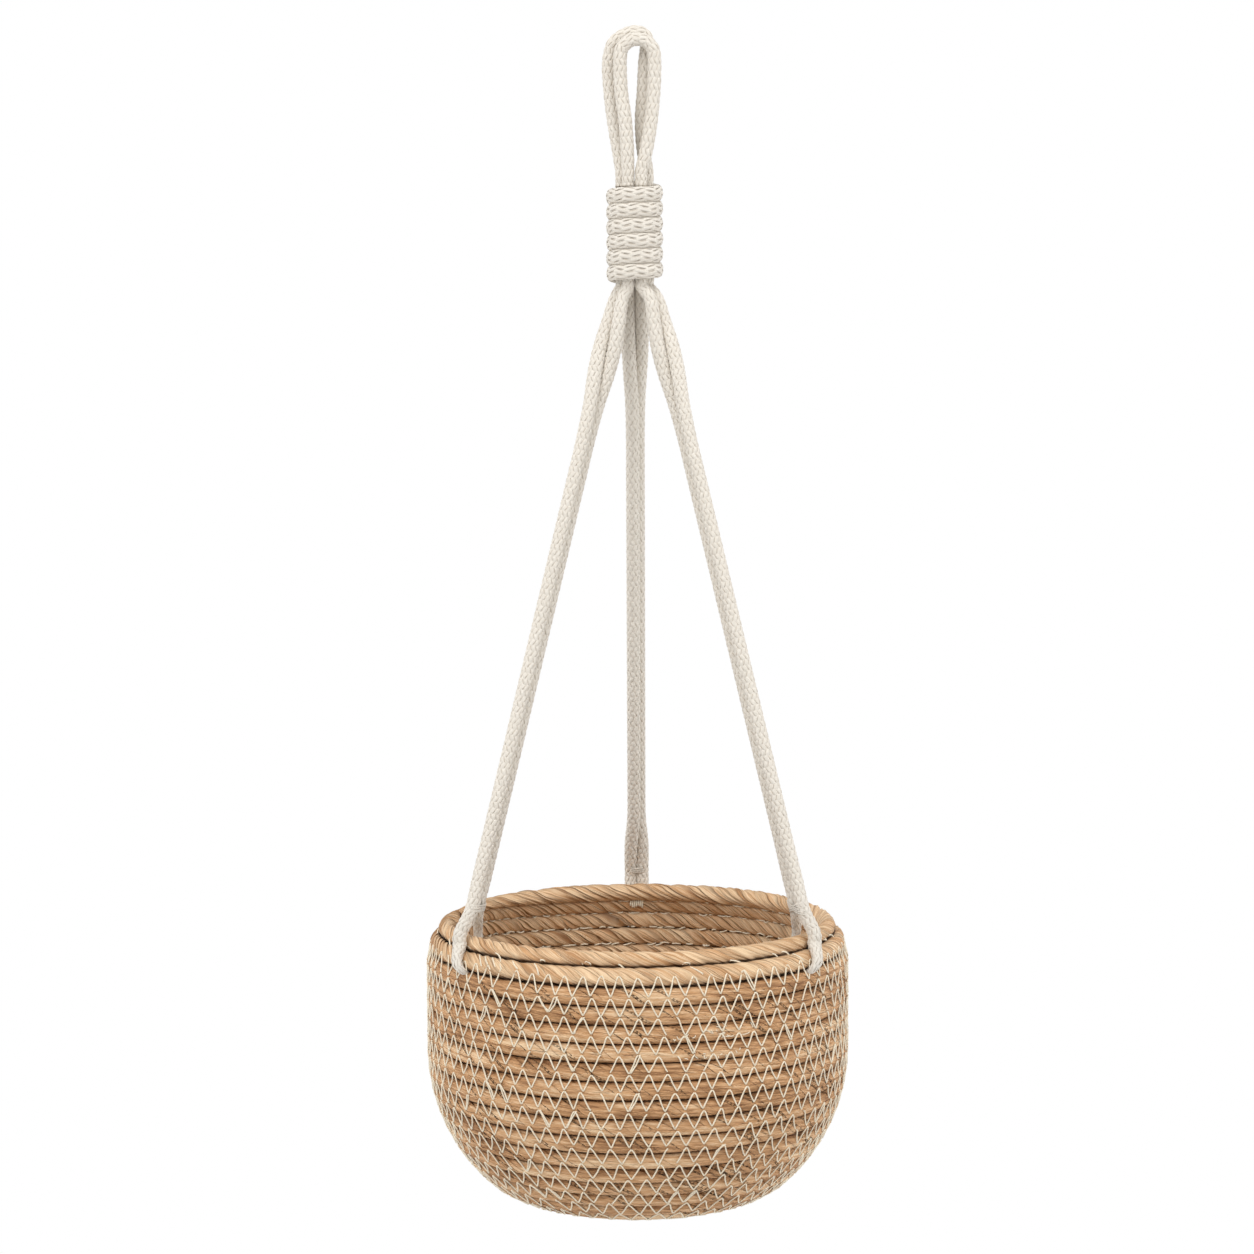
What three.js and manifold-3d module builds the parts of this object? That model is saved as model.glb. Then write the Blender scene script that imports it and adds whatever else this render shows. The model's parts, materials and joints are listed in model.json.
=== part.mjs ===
// A hanging planter: a bowl-shaped basket coiled from one long husk-wrapped rope, carried by three doubled
// cotton ropes that are bound together under a hanging loop. Millimetres, +Z up. The origin is the point on the
// underside of the loop where a hook bears, the hook's bar lies along Y, and the planter's front faces -Y.
import * as THREE from "three";
import { mergeVertices } from "three/addons/utils/BufferGeometryUtils.js";
import Module from "manifold-3d";

// Heights, measured down from the hook's bearing point
const RIM_DROP = 445.3; // to the centre line of the rim coil
const WRAP_TOP_DROP = 69.6; // to the plane where the ropes enter the gathering wrap
const LOOP_SPLIT_DROP = 6.5; // to where the loop's crown ends and its legs begin

// The basket, as the line that the middle of its coiled rope follows
const BODY_RADIUS = 103.7; // at the widest coils
const SHOULDER_RADIUS = 24.7; // the bend that draws the rim in
const SHOULDER_SWEEP = 45.54; // degrees of it
const WALL_HEIGHT = 45; // the upright stretch
const BELLY_RADIUS = 86.7; // the slow bend below the wall
const BELLY_SWEEP = 47.22; // degrees of it
const HEEL_RADIUS = 34.8; // the tighter bend onto the flat base
const HUSK_ROPE = 9.18; // the husk-wrapped rope's thickness, which is also the step from coil to coil
const COIL_GAP = 0.65; // left between neighbouring coils
const BASE_FLAT = 0.5; // depth of the flat under the base
const FIRST_COIL_SHARE = 0.4; // how far from the middle the coiling starts, as a share of one step

// Each coil runs level round most of the basket and climbs to the next on the far left
const CLIMB_START = 100; // degrees round from +X
const CLIMB_END = 200;
const RIM_END_SHARE = 0.3; // the rim's end tapers to this share of the rope's thickness
const RIM_PRESS_FRONT = 0.12; // the rim coil lies this share of the rope's thickness lower in front
const RIM_PRESS_BACK = 0.22; // and at the back

// The cotton rope and the places where it is squeezed
const ROPE = 7.2;
const BOUND_ROPE = 6.2; // inside the gathering wrap
const NECK_ROPE = 3.4; // where a hanger passes between two coils
const INNER_LEG_ROPE = 4.6; // a front hanger's leg inside the rim, pressed flat
const BACK_LEG_ROPE = 5.8; // the back hanger's legs outside the rim
const FIT = 0.3; // clearance between pieces that touch
const RUN_SPACING = ROPE + FIT; // between the two runs of a doubled rope

// The gathering wrap is pressed flat against the ropes that it binds
const WRAP_TURNS = 6;
const WRAP_ROPE_HEIGHT = 7.2;
const WRAP_ROPE_THICKNESS = 4.4;
const WRAP_GAP = 0.46; // between neighbouring turns

// The hanging loop: two strands lie side by side over the hook, each with a leg on its left and its right
const FRONT_LEFT_X = -7;
const FRONT_RIGHT_X = 10.2;
const REAR_LEFT_X = -12.6;
const REAR_RIGHT_X = 5.6;
const REAR_LIFT = 4.2; // the rear strand's underside rides this far above the hook
const REAR_LEAN = 4.4; // and the top of its bow lies this far right of its middle

// The hangers: where each stands round the rim, in degrees from +X, and where its two runs part
const LEFT_AZIMUTH = 212.2;
const RIGHT_AZIMUTH = 327.1;
const BACK_AZIMUTH = 90;
const FRONT_EYE_HEIGHT = 17; // above the rim coil's centre line
const BACK_EYE_HEIGHT = 9.5;
const INNER_LEG_TURN = 6.5; // degrees that a front hanger's inner leg stands further back round the rim
const NECK_TURN = 3.6; // and the neck between the two legs further forward
const TWIST_LENGTH = 72; // the stretch under the wrap in which the two runs turn round each other
const LEFT_FLARE = 1.8; // how far the runs swell outwards just under the wrap
const RIGHT_FLARE = 3.4;
const FLARE_START = 6; // below the wrap, where they have swollen most

// The sewn tacks: one across the crease where each hanger's runs part, one through the wall at the back
const TACK_THICKNESS = 0.9;
const EYE_TACK_WIDTH = 4.4;
const EYE_TACK_HEIGHT = 3.2;
const WALL_TACK_WIDTH = 7;
const WALL_TACK_HEIGHT = 2.6;
const WALL_TACK_DROP = 6.2; // along the wall from the rim coil's centre line

// How finely the round shapes are made
const COIL_STEPS = 24; // steps in one loop of a winding
const ROPE_SIDES = 8;
const CROWN_STEPS = 14;
const SPAN_STEPS = 2; // rings to each span between two stops of a rope's route
const RUN_STOP_SHARES = [0, 0.02, 0.06, 0.1, 0.14, 0.19, 0.25, 0.31, 0.45, 0.6, 0.75, 0.84, 0.9, 0.95, 1];
const FULL_TURN = 2 * Math.PI;

const radians = THREE.MathUtils.degToRad;
const smooth = (from, to, x) => THREE.MathUtils.smoothstep(x, from, to);
const mix = THREE.MathUtils.lerp;

// Colours of the two ropes and the sewing thread
const HUSK = { color: 0xc39a6b, roughness: 0.85, metalness: 0 };
const COTTON = { color: 0xe4ddd2, roughness: 0.95, metalness: 0 };
const THREAD = { color: 0xece2cf, roughness: 0.9, metalness: 0 };

const planter = new THREE.Group();

function addPiece(name, geometry, finish) {
  const piece = new THREE.Mesh(geometry, new THREE.MeshStandardMaterial(finish));
  piece.name = name;
  planter.add(piece);
  return piece;
}

// A closed tube through rings of points, with a flat cap at each end
function loft(rings) {
  const sides = rings[0].length;
  const positions = rings.flat().flatMap((p) => [p.x, p.y, p.z]);
  const faces = [];
  for (let ring = 0; ring + 1 < rings.length; ring++) {
    for (let side = 0; side < sides; side++) {
      const a = ring * sides + side;
      const b = ring * sides + ((side + 1) % sides);
      faces.push(a, b, b + sides, a, b + sides, a + sides);
    }
  }
  const last = (rings.length - 1) * sides;
  for (let side = 1; side + 1 < sides; side++) {
    faces.push(0, side + 1, side, last, last + side, last + side + 1);
  }
  const geometry = new THREE.BufferGeometry();
  geometry.setAttribute("position", new THREE.Float32BufferAttribute(positions, 3));
  geometry.setIndex(faces);
  return geometry;
}

// A round rope whose radius may change along its route. The section keeps its twist from point to point.
function ropeAlong(points, radii) {
  const tangents = points.map((point, i) => {
    const before = points[Math.max(i - 1, 0)];
    const after = points[Math.min(i + 1, points.length - 1)];
    return after.clone().sub(before).normalize();
  });
  const across = new THREE.Vector3(1, 0, 0);
  if (Math.abs(tangents[0].x) > Math.abs(tangents[0].y)) across.set(0, 1, 0);
  const rings = points.map((point, i) => {
    across.addScaledVector(tangents[i], -across.dot(tangents[i])).normalize();
    const up = tangents[i].clone().cross(across);
    return Array.from({ length: ROPE_SIDES }, (_, side) => {
      const angle = (FULL_TURN * side) / ROPE_SIDES;
      return point
        .clone()
        .addScaledVector(across, radii[i] * Math.cos(angle))
        .addScaledVector(up, radii[i] * Math.sin(angle));
    });
  });
  return loft(rings);
}

// A smooth rope through a route of [x, y, z, radius] stops
function ropeThrough(stops) {
  const curve = new THREE.CatmullRomCurve3(stops.map(([x, y, z]) => new THREE.Vector3(x, y, z)));
  const count = (stops.length - 1) * SPAN_STEPS;
  const points = [];
  const radii = [];
  for (let i = 0; i <= count; i++) {
    const along = (i / count) * (stops.length - 1);
    const span = Math.min(Math.floor(along), stops.length - 2);
    points.push(curve.getPoint(i / count));
    radii.push(mix(stops[span][3], stops[span + 1][3], along - span));
  }
  return { points, radii };
}

// manifold-3d only cuts the places where the hangers press into the basket's coils
const wasm = await Module();
wasm.setup();

function solidOf(geometry) {
  const bare = geometry.clone();
  bare.deleteAttribute("normal");
  bare.deleteAttribute("uv");
  const merged = mergeVertices(bare);
  return new wasm.Manifold(
    new wasm.Mesh({
      numProp: 3,
      vertProperties: new Float32Array(merged.getAttribute("position").array),
      triVerts: new Uint32Array(merged.index.array),
    }),
  );
}

function geometryOf(solid) {
  const mesh = solid.getMesh();
  const geometry = new THREE.BufferGeometry();
  geometry.setAttribute("position", new THREE.Float32BufferAttribute(mesh.vertProperties, 3));
  geometry.setIndex(new THREE.BufferAttribute(mesh.triVerts, 1));
  return geometry;
}

// The basket's profile: where the rope's centre lies at a length measured along the wall from the rim, and
// which way the wall heads. Bends and straights follow each other from the rim down to the base's middle.
const shoulderSweep = radians(SHOULDER_SWEEP);
const bellySweep = radians(BELLY_SWEEP);
const heelSweep = Math.PI / 2 - bellySweep;
const rimRadius = BODY_RADIUS - SHOULDER_RADIUS * (1 - Math.cos(shoulderSweep));
const bellyReach = BELLY_RADIUS * (1 - Math.cos(bellySweep)) + HEEL_RADIUS * Math.cos(bellySweep);
const stretches = [
  { length: SHOULDER_RADIUS * shoulderSweep, turn: -shoulderSweep },
  { length: WALL_HEIGHT, turn: 0 },
  { length: BELLY_RADIUS * bellySweep, turn: -bellySweep },
  { length: HEEL_RADIUS * heelSweep, turn: -heelSweep },
  { length: BODY_RADIUS - bellyReach, turn: 0 },
];
const profileLength = stretches.reduce((sum, stretch) => sum + stretch.length, 0);

function profileAt(length) {
  let radius = rimRadius;
  let height = -RIM_DROP;
  let heading = shoulderSweep; // from straight down, positive outwards
  let left = length;
  for (const stretch of stretches) {
    const last = stretch === stretches[stretches.length - 1];
    const run = last ? left : Math.min(left, stretch.length);
    const bend = (stretch.turn * run) / stretch.length;
    const chord = bend === 0 ? run : (2 * run * Math.sin(bend / 2)) / bend;
    radius += chord * Math.sin(heading + bend / 2);
    height -= chord * Math.cos(heading + bend / 2);
    heading += bend;
    left -= run;
    if (left <= 0) break;
  }
  return { radius, height, heading };
}

// The winding. A place on the rope is told by its turns: the whole turns count coils, the rest is the way
// round. The level run and the climb suit the wall, and fade into an even spiral towards the base's middle.
const coilCount = profileLength / HUSK_ROPE;
const climbStart = CLIMB_START / 360;
const climbEnd = CLIMB_END / 360;
const rimTurn = Math.ceil(coilCount);
const coilOffset = coilCount - rimTurn;

function coilsOut(turns) {
  const whole = Math.floor(turns);
  const climbed = whole + smooth(climbStart, climbEnd, turns - whole);
  const levelShare = THREE.MathUtils.clamp((turns + coilOffset) / coilCount, 0, 1);
  return coilOffset + mix(turns, climbed, levelShare);
}

// The share of its height that a coil keeps: the rim is pressed down onto the coil beneath it
function heightShare(turns) {
  const pressed = mix(RIM_PRESS_FRONT, RIM_PRESS_BACK, (1 + Math.sin(FULL_TURN * turns)) / 2);
  return 1 - pressed * smooth(climbStart, climbEnd, turns - (rimTurn - 1));
}

const coilHeight = HUSK_ROPE - COIL_GAP;
const baseFloor = profileAt(profileLength).height - HUSK_ROPE / 2 + BASE_FLAT;

// The six corners of a pressed rope's section, as shares of its half thickness outwards and its half height
// upwards: flat faces in and out, and an edge towards each neighbour
const sectionShares = [
  [0, 1],
  [1, 0.5],
  [1, -0.5],
  [0, -1],
  [-1, -0.5],
  [-1, 0.5],
];

// The husk rope's section at a place on the winding. It stops short of the axis and of the base's flat.
function coilRing(turns, length, height, thickness) {
  const { radius, height: level, heading } = profileAt(length);
  const azimuth = FULL_TURN * turns;
  return sectionShares.map(([outShare, upShare]) => {
    const out = (outShare * thickness) / 2;
    const up = (upShare * height) / 2;
    const r = Math.max(radius + out * Math.cos(heading) - up * Math.sin(heading), COIL_GAP);
    const z = Math.max(level + out * Math.sin(heading) + up * Math.cos(heading), baseFloor);
    return new THREE.Vector3(r * Math.cos(azimuth), r * Math.sin(azimuth), z);
  });
}

function basketRings() {
  const rings = [];
  const firstTurn = FIRST_COIL_SHARE - coilOffset;
  const lastTurn = rimTurn + climbStart;
  const steps = Math.round((lastTurn - firstTurn) * COIL_STEPS);
  for (let step = 0; step <= steps; step++) {
    const turns = lastTurn - (steps - step) / COIL_STEPS;
    const height = coilHeight * heightShare(turns);
    const length = Math.max(profileLength - coilsOut(turns) * HUSK_ROPE, 0) + (coilHeight - height) / 2;
    rings.push(coilRing(turns, length, height, HUSK_ROPE));
  }
  // The rim's end lies down on the coil that climbs up beneath it
  for (let step = 1; step <= COIL_STEPS; step++) {
    const turns = lastTurn + step / COIL_STEPS;
    const room = 1 - smooth(climbStart, climbEnd, turns - rimTurn);
    if (room < RIM_END_SHARE) break;
    const space = room * HUSK_ROPE - COIL_GAP;
    const height = space * heightShare(turns);
    const length = space - (coilHeight + height) / 2;
    rings.push(coilRing(turns, length, height, HUSK_ROPE * mix(room, 1, RIM_END_SHARE)));
  }
  return rings;
}

// The least gap between a winding and itself, over rings at least half a turn apart
function leastGap(rings) {
  const centres = rings.map((ring) =>
    ring.reduce((sum, p) => sum.add(p), new THREE.Vector3()).divideScalar(ring.length),
  );
  let least = Infinity;
  for (let i = 0; i < rings.length; i++) {
    for (let j = i + COIL_STEPS / 2; j < rings.length; j++) {
      if (centres[i].distanceTo(centres[j]) > 2 * HUSK_ROPE) continue;
      for (const p of rings[i]) for (const q of rings[j]) least = Math.min(least, p.distanceTo(q));
    }
  }
  return least;
}

// A place beside the rim, by its distance from the axis, its distance sideways and its height
function besideRim(azimuth, radius, sideways, z) {
  const a = radians(azimuth);
  return [
    radius * Math.cos(a) - sideways * Math.sin(a),
    radius * Math.sin(a) + sideways * Math.cos(a),
    z,
  ];
}

// The ropes inside the wrap stand in a ring of six, each a clearance from the next
const boundSpacing = BOUND_ROPE + FIT;
const boreRadius = boundSpacing + BOUND_ROPE / 2 + FIT;
const wrapPitch = WRAP_ROPE_HEIGHT + WRAP_GAP;
const wrapTop = -WRAP_TOP_DROP;
const wrapBottom = wrapTop - WRAP_TURNS * wrapPitch;
const boundPlace = (degrees) => [
  boundSpacing * Math.cos(radians(degrees)),
  boundSpacing * Math.sin(radians(degrees)),
];

const rimCoil = profileAt(0);
const secondCoil = profileAt(HUSK_ROPE);
const thirdCoil = profileAt(2 * HUSK_ROPE);
const coilReach = HUSK_ROPE / 2 + FIT;

// Both runs of a doubled hanger, from the wrap down to where they part. Side +1 is the run that stands on the
// turnFrom side under the wrap, and the two turn round each other on their way down.
function hangerRun(hanger, side) {
  const [topX, topY] = besideRim(hanger.topAzimuth, boundSpacing * Math.cos(Math.PI / 6), 0, 0);
  const [flareX, flareY] = besideRim(hanger.topAzimuth, hanger.flare, 0, 0);
  const eyeZ = -RIM_DROP + hanger.eyeHeight;
  const [eyeX, eyeY] = besideRim(hanger.azimuth, rimCoil.radius + hanger.eyeOut, 0, eyeZ);
  const top = wrapBottom - FIT / 2;
  const drop = top - BOUND_ROPE / 2 - eyeZ;
  const stops = [];
  for (const share of RUN_STOP_SHARES) {
    const fallen = share * drop;
    const lay = mix(hanger.turnFrom, hanger.turnTo, smooth(0, TWIST_LENGTH, fallen));
    const eyeLay = mix(lay, hanger.eyeLay, smooth(drop - TWIST_LENGTH / 2, drop, fallen));
    const spacing = mix(boundSpacing, RUN_SPACING, smooth(0, TWIST_LENGTH / 2, fallen));
    const half = (side * mix(spacing, hanger.eyeSpacing, smooth(drop - TWIST_LENGTH / 2, drop, fallen))) / 2;
    const swell = smooth(0, FLARE_START, fallen) * (1 - share);
    const radius = mix(BOUND_ROPE, ROPE, smooth(0, TWIST_LENGTH / 3, fallen)) / 2;
    const nearEye = mix(radius, hanger.eyeRope / 2, smooth(drop - TWIST_LENGTH / 3, drop, fallen));
    stops.push([
      mix(topX, eyeX, share) + flareX * swell + half * Math.cos(radians(eyeLay)),
      mix(topY, eyeY, share) + flareY * swell + half * Math.sin(radians(eyeLay)),
      mix(top - BOUND_ROPE / 2, eyeZ, share),
      nearEye,
    ]);
  }
  // The run leaves the wrap straight down
  const [x, y, , radius] = stops[0];
  return [[x, y, top, radius], ...stops];
}

// The eye of a front hanger: down outside the two top coils, squeezed between the second and the third, and
// up inside them again. The two legs and the neck between them have azimuths of their own.
function threadedEye(outerAzimuth, neckAzimuth, innerAzimuth) {
  const place = (radius, z, rope, from, to, share = 0) => [
    ...besideRim(mix(from, to, share), radius, 0, z),
    rope / 2,
  ];
  const outer = [outerAzimuth, neckAzimuth];
  const inner = [neckAzimuth, innerAzimuth];
  const gapZ = (secondCoil.height + thirdCoil.height) / 2;
  const gapRadius = (secondCoil.radius + thirdCoil.radius) / 2;
  const outside = rimCoil.radius + coilReach + ROPE / 2;
  const inside = rimCoil.radius - coilReach - INNER_LEG_ROPE / 2;
  const pressed = (ROPE + NECK_ROPE) / 2;
  const innerPressed = (INNER_LEG_ROPE + NECK_ROPE) / 2;
  return [
    place(outside, rimCoil.height + coilReach, ROPE, ...outer),
    place(outside, rimCoil.height, ROPE, ...outer),
    place(secondCoil.radius + coilReach + pressed / 2, secondCoil.height, pressed, ...outer, 2 / 3),
    place(secondCoil.radius + coilReach + NECK_ROPE / 4, gapZ, NECK_ROPE, ...outer, 1),
    place(gapRadius, gapZ, NECK_ROPE, ...inner, 1 / 5),
    place(gapRadius - coilReach, gapZ, NECK_ROPE, ...inner, 2 / 5),
    place(
      secondCoil.radius - coilReach - innerPressed / 2,
      secondCoil.height - coilReach / 2,
      innerPressed,
      ...inner,
      2 / 3,
    ),
    place(inside, rimCoil.height - coilReach / 2, INNER_LEG_ROPE, ...inner, 1),
    place(inside, rimCoil.height + coilReach, INNER_LEG_ROPE, ...inner, 1),
  ];
}

// The eye of the back hanger: its legs part sideways and its bight lies outside the top coils
function sewnEye(azimuth) {
  const place = (radius, sideways, z) => [...besideRim(azimuth, radius, sideways, z), BACK_LEG_ROPE / 2];
  const legOut = Math.hypot(HUSK_ROPE / 2, coilHeight / 4) + 2 * FIT + BACK_LEG_ROPE / 2;
  const spread = BACK_LEG_ROPE / 2 + FIT;
  const bightZ = secondCoil.height - (HUSK_ROPE + BACK_LEG_ROPE) / 2;
  return [
    place(rimCoil.radius + legOut, spread, rimCoil.height),
    place(secondCoil.radius + legOut, spread, secondCoil.height),
    place(thirdCoil.radius + legOut, 0, bightZ),
    place(secondCoil.radius + legOut, -spread, secondCoil.height),
    place(rimCoil.radius + legOut, -spread, rimCoil.height),
  ];
}

const hangers = [
  {
    name: "left",
    azimuth: LEFT_AZIMUTH,
    topAzimuth: 210,
    turnFrom: 120,
    turnTo: 248,
    flare: LEFT_FLARE,
    eyeLay: 248,
    eyeOut: 0,
    eyeHeight: FRONT_EYE_HEIGHT,
    eyeSpacing: RUN_SPACING,
    eyeRope: ROPE,
    eye: threadedEye(LEFT_AZIMUTH, LEFT_AZIMUTH + NECK_TURN, LEFT_AZIMUTH - INNER_LEG_TURN),
  },
  {
    name: "right",
    azimuth: RIGHT_AZIMUTH,
    topAzimuth: 330,
    turnFrom: 60,
    turnTo: -68,
    flare: RIGHT_FLARE,
    eyeLay: -64,
    eyeOut: 0,
    eyeHeight: FRONT_EYE_HEIGHT,
    eyeSpacing: RUN_SPACING,
    eyeRope: ROPE,
    eye: threadedEye(RIGHT_AZIMUTH, RIGHT_AZIMUTH - NECK_TURN, RIGHT_AZIMUTH + INNER_LEG_TURN),
  },
  {
    name: "back",
    azimuth: BACK_AZIMUTH,
    topAzimuth: 90,
    turnFrom: 180,
    turnTo: 248,
    flare: 0,
    eyeLay: 180,
    eyeOut: coilReach + BACK_LEG_ROPE / 2,
    eyeHeight: BACK_EYE_HEIGHT,
    eyeSpacing: BACK_LEG_ROPE + FIT,
    eyeRope: BACK_LEG_ROPE,
    eye: sewnEye(BACK_AZIMUTH),
  },
];

for (const hanger of hangers) {
  hanger.down = hangerRun(hanger, 1);
  hanger.up = hangerRun(hanger, -1).reverse();
  hanger.route = ropeThrough([...hanger.down, ...hanger.eye, ...hanger.up]);
  addPiece(`hanger_rope_${hanger.name}`, ropeAlong(hanger.route.points, hanger.route.radii), COTTON);
}

// What a hanger presses out of the husk rope: its own shape, a clearance larger all round
function pressedRoom({ route }) {
  return solidOf(ropeAlong(route.points, route.radii.map((radius) => radius + FIT)));
}

const windingRings = basketRings();
console.log("basket coil: least gap to itself", leastGap(windingRings).toFixed(2), "mm");
let basket = solidOf(loft(windingRings));
for (const hanger of hangers) basket = basket.subtract(pressedRoom(hanger));
addPiece("basket_coil", geometryOf(basket), HUSK);

// The gathering wrap: one rope wound down round the ropes, flattened against them. Its ends lie at the back.
function wrapRings() {
  const rings = [];
  const middle = boreRadius + WRAP_ROPE_THICKNESS / 2;
  for (let step = 0; step <= WRAP_TURNS * COIL_STEPS; step++) {
    const azimuth = radians(BACK_AZIMUTH) - (FULL_TURN * step) / COIL_STEPS;
    const level = wrapTop - (wrapPitch * step) / COIL_STEPS;
    rings.push(
      sectionShares.map(([outShare, upShare]) => {
        const r = middle - (outShare * WRAP_ROPE_THICKNESS) / 2;
        const z = level + (upShare * WRAP_ROPE_HEIGHT) / 2;
        return new THREE.Vector3(r * Math.cos(azimuth), r * Math.sin(azimuth), z);
      }),
    );
  }
  return rings;
}

const wrap = wrapRings();
console.log("gathering wrap: least gap to itself", leastGap(wrap).toFixed(2), "mm");
addPiece("gathering_wrap", loft(wrap), COTTON);

// The six rope runs inside the wrap. Four go on up into the loop and the back hanger's two end here.
const boundRuns = [
  ["bound_run_left_outer", 180],
  ["bound_run_left_inner", 240],
  ["bound_run_right_front", 300],
  ["bound_run_right_rear", 0],
  ["bound_run_back_right", 60],
  ["bound_run_back_left", 120],
];
for (const [name, degrees] of boundRuns) {
  const [x, y] = boundPlace(degrees);
  const radius = BOUND_ROPE / 2;
  const run = new THREE.CylinderGeometry(radius, radius, wrapTop - wrapBottom - FIT, ROPE_SIDES);
  run.rotateX(Math.PI / 2);
  addPiece(name, run, COTTON).position.set(x, y, (wrapTop + wrapBottom) / 2);
}

// The hanging loop: each strand has a crown over the hook, and two legs down to the wrap
const strandY = RUN_SPACING / 2; // each strand's distance from the loop's middle, to the front or the rear

function crown(leftX, rightX, y, lift, lean) {
  const reach = (rightX - leftX) / 2;
  const middleX = (rightX + leftX) / 2;
  const middleZ = ROPE / 2 + lift - reach;
  const points = [new THREE.Vector3(leftX, y, -LOOP_SPLIT_DROP)];
  for (let step = 0; step <= CROWN_STEPS; step++) {
    const angle = Math.PI * (1 - step / CROWN_STEPS);
    const x = middleX + reach * Math.cos(angle) + lean * Math.sin(angle);
    points.push(new THREE.Vector3(x, y, middleZ + reach * Math.sin(angle)));
  }
  points.push(new THREE.Vector3(rightX, y, -LOOP_SPLIT_DROP));
  return ropeAlong(points, points.map(() => ROPE / 2));
}

// The front crown is raised until its underside meets the origin, which lies a little left of its middle
const frontInside = (FRONT_RIGHT_X - FRONT_LEFT_X - ROPE) / 2;
const frontLift = frontInside - Math.sqrt(frontInside ** 2 - ((FRONT_RIGHT_X + FRONT_LEFT_X) / 2) ** 2);
addPiece("loop_crown_front", crown(FRONT_LEFT_X, FRONT_RIGHT_X, -strandY, frontLift, 0), COTTON);
addPiece("loop_crown_rear", crown(REAR_LEFT_X, REAR_RIGHT_X, strandY, REAR_LIFT, REAR_LEAN), COTTON);

// A leg leaves the crown straight down, follows its route's [x, y, depth] points, and enters the wrap
function loopLeg(startX, startY, route, degrees) {
  const [endX, endY] = boundPlace(degrees);
  const top = -LOOP_SPLIT_DROP - FIT;
  const bottom = wrapTop + FIT / 2;
  return ropeThrough([
    [startX, startY, top, ROPE / 2],
    [startX, startY, top - ROPE / 2, ROPE / 2],
    ...route.map(([x, y, depth]) => [x, y, -depth, ROPE / 2]),
    [endX, endY, bottom + ROPE, BOUND_ROPE / 2],
    [endX, endY, bottom + ROPE / 2, BOUND_ROPE / 2],
    [endX, endY, bottom, BOUND_ROPE / 2],
  ]);
}

const leftInnerRoute = [[-6.5, -4.1, 22], [-4.6, -4.9, 36], [-3.6, -5.4, 50]];
const leftOuterRoute = [[-12, 3.4, 22], [-10.1, 2.6, 38], [-7.8, 1.4, 52]];
const rightFrontRoute = [[9.8, -4.1, 22], [8.2, -4.8, 38], [5.8, -5.4, 52]];
const rightRearRoute = [[4.7, 3.9, 22], [3.7, 4.1, 36], [4.4, 2.8, 50]];
const loopLegs = [
  ["loop_leg_left_inner", FRONT_LEFT_X, -strandY, leftInnerRoute, 240],
  ["loop_leg_left_outer", REAR_LEFT_X, strandY, leftOuterRoute, 180],
  ["loop_leg_right_front", FRONT_RIGHT_X, -strandY, rightFrontRoute, 300],
  ["loop_leg_right_rear", REAR_RIGHT_X, strandY, rightRearRoute, 0],
];
for (const [name, startX, startY, route, degrees] of loopLegs) {
  const leg = loopLeg(startX, startY, route, degrees);
  addPiece(name, ropeAlong(leg.points, leg.radii), COTTON);
}

// A sewn tack lies on what it holds: its width runs along one direction, and it stands out along another
function addTack(name, [width, height], place, along, outwards) {
  const up = along.clone().cross(outwards);
  const basis = new THREE.Matrix4().makeBasis(along, outwards, up);
  const tack = new THREE.BoxGeometry(width, TACK_THICKNESS, height).applyMatrix4(basis);
  addPiece(name, tack, THREAD).position.copy(place);
}

const vector = ([x, y, z]) => new THREE.Vector3(x, y, z);

// Each hanger's runs are sewn together just above where they part. The tack lies across the crease between
// them, on the side that faces the front or, at the back, the basket.
for (const hanger of hangers) {
  const down = vector(hanger.down[hanger.down.length - 1]);
  const up = vector(hanger.up[0]);
  const across = down.clone().sub(up).normalize();
  const rise = vector(hanger.down[hanger.down.length - 2]).add(vector(hanger.up[1])).divideScalar(2);
  const middle = down.clone().add(up).divideScalar(2);
  const outwards = rise.clone().sub(middle).cross(across).normalize();
  if (outwards.y > 0) outwards.negate();
  middle.lerp(rise, EYE_TACK_HEIGHT / 2 / rise.distanceTo(middle));
  middle.addScaledVector(outwards, hanger.eyeRope / 2 + FIT / 2 + TACK_THICKNESS / 2);
  addTack(`eye_tack_${hanger.name}`, [EYE_TACK_WIDTH, EYE_TACK_HEIGHT], middle, across, outwards);
}

// The bar tack that sews the back hanger through the wall, seen inside on the second coil
const tackSeat = profileAt(WALL_TACK_DROP);
const facetDip = tackSeat.radius * (1 - Math.cos(Math.PI / COIL_STEPS)); // from the circle to its chords
const tackIn = HUSK_ROPE / 2 + facetDip + FIT + TACK_THICKNESS / 2;
const tackOut = new THREE.Vector3(
  ...besideRim(BACK_AZIMUTH, Math.cos(tackSeat.heading), 0, Math.sin(tackSeat.heading)),
);
const tackPlace = vector(besideRim(BACK_AZIMUTH, tackSeat.radius, 0, tackSeat.height));
addTack(
  "wall_tack_back",
  [WALL_TACK_WIDTH, WALL_TACK_HEIGHT],
  tackPlace.addScaledVector(tackOut, -tackIn),
  vector(besideRim(BACK_AZIMUTH, 0, 1, 0)),
  tackOut,
);

export default planter;
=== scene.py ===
"""A coiled hanging planter: husk-wrapped rope, braided cotton hangers and pale stitching, in a plain studio.

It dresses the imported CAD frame. Lengths are in metres, +Z is up, the front faces -Y, and the origin is the
point where a hook bears under the hanging loop.
"""
import json
import math

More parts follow.
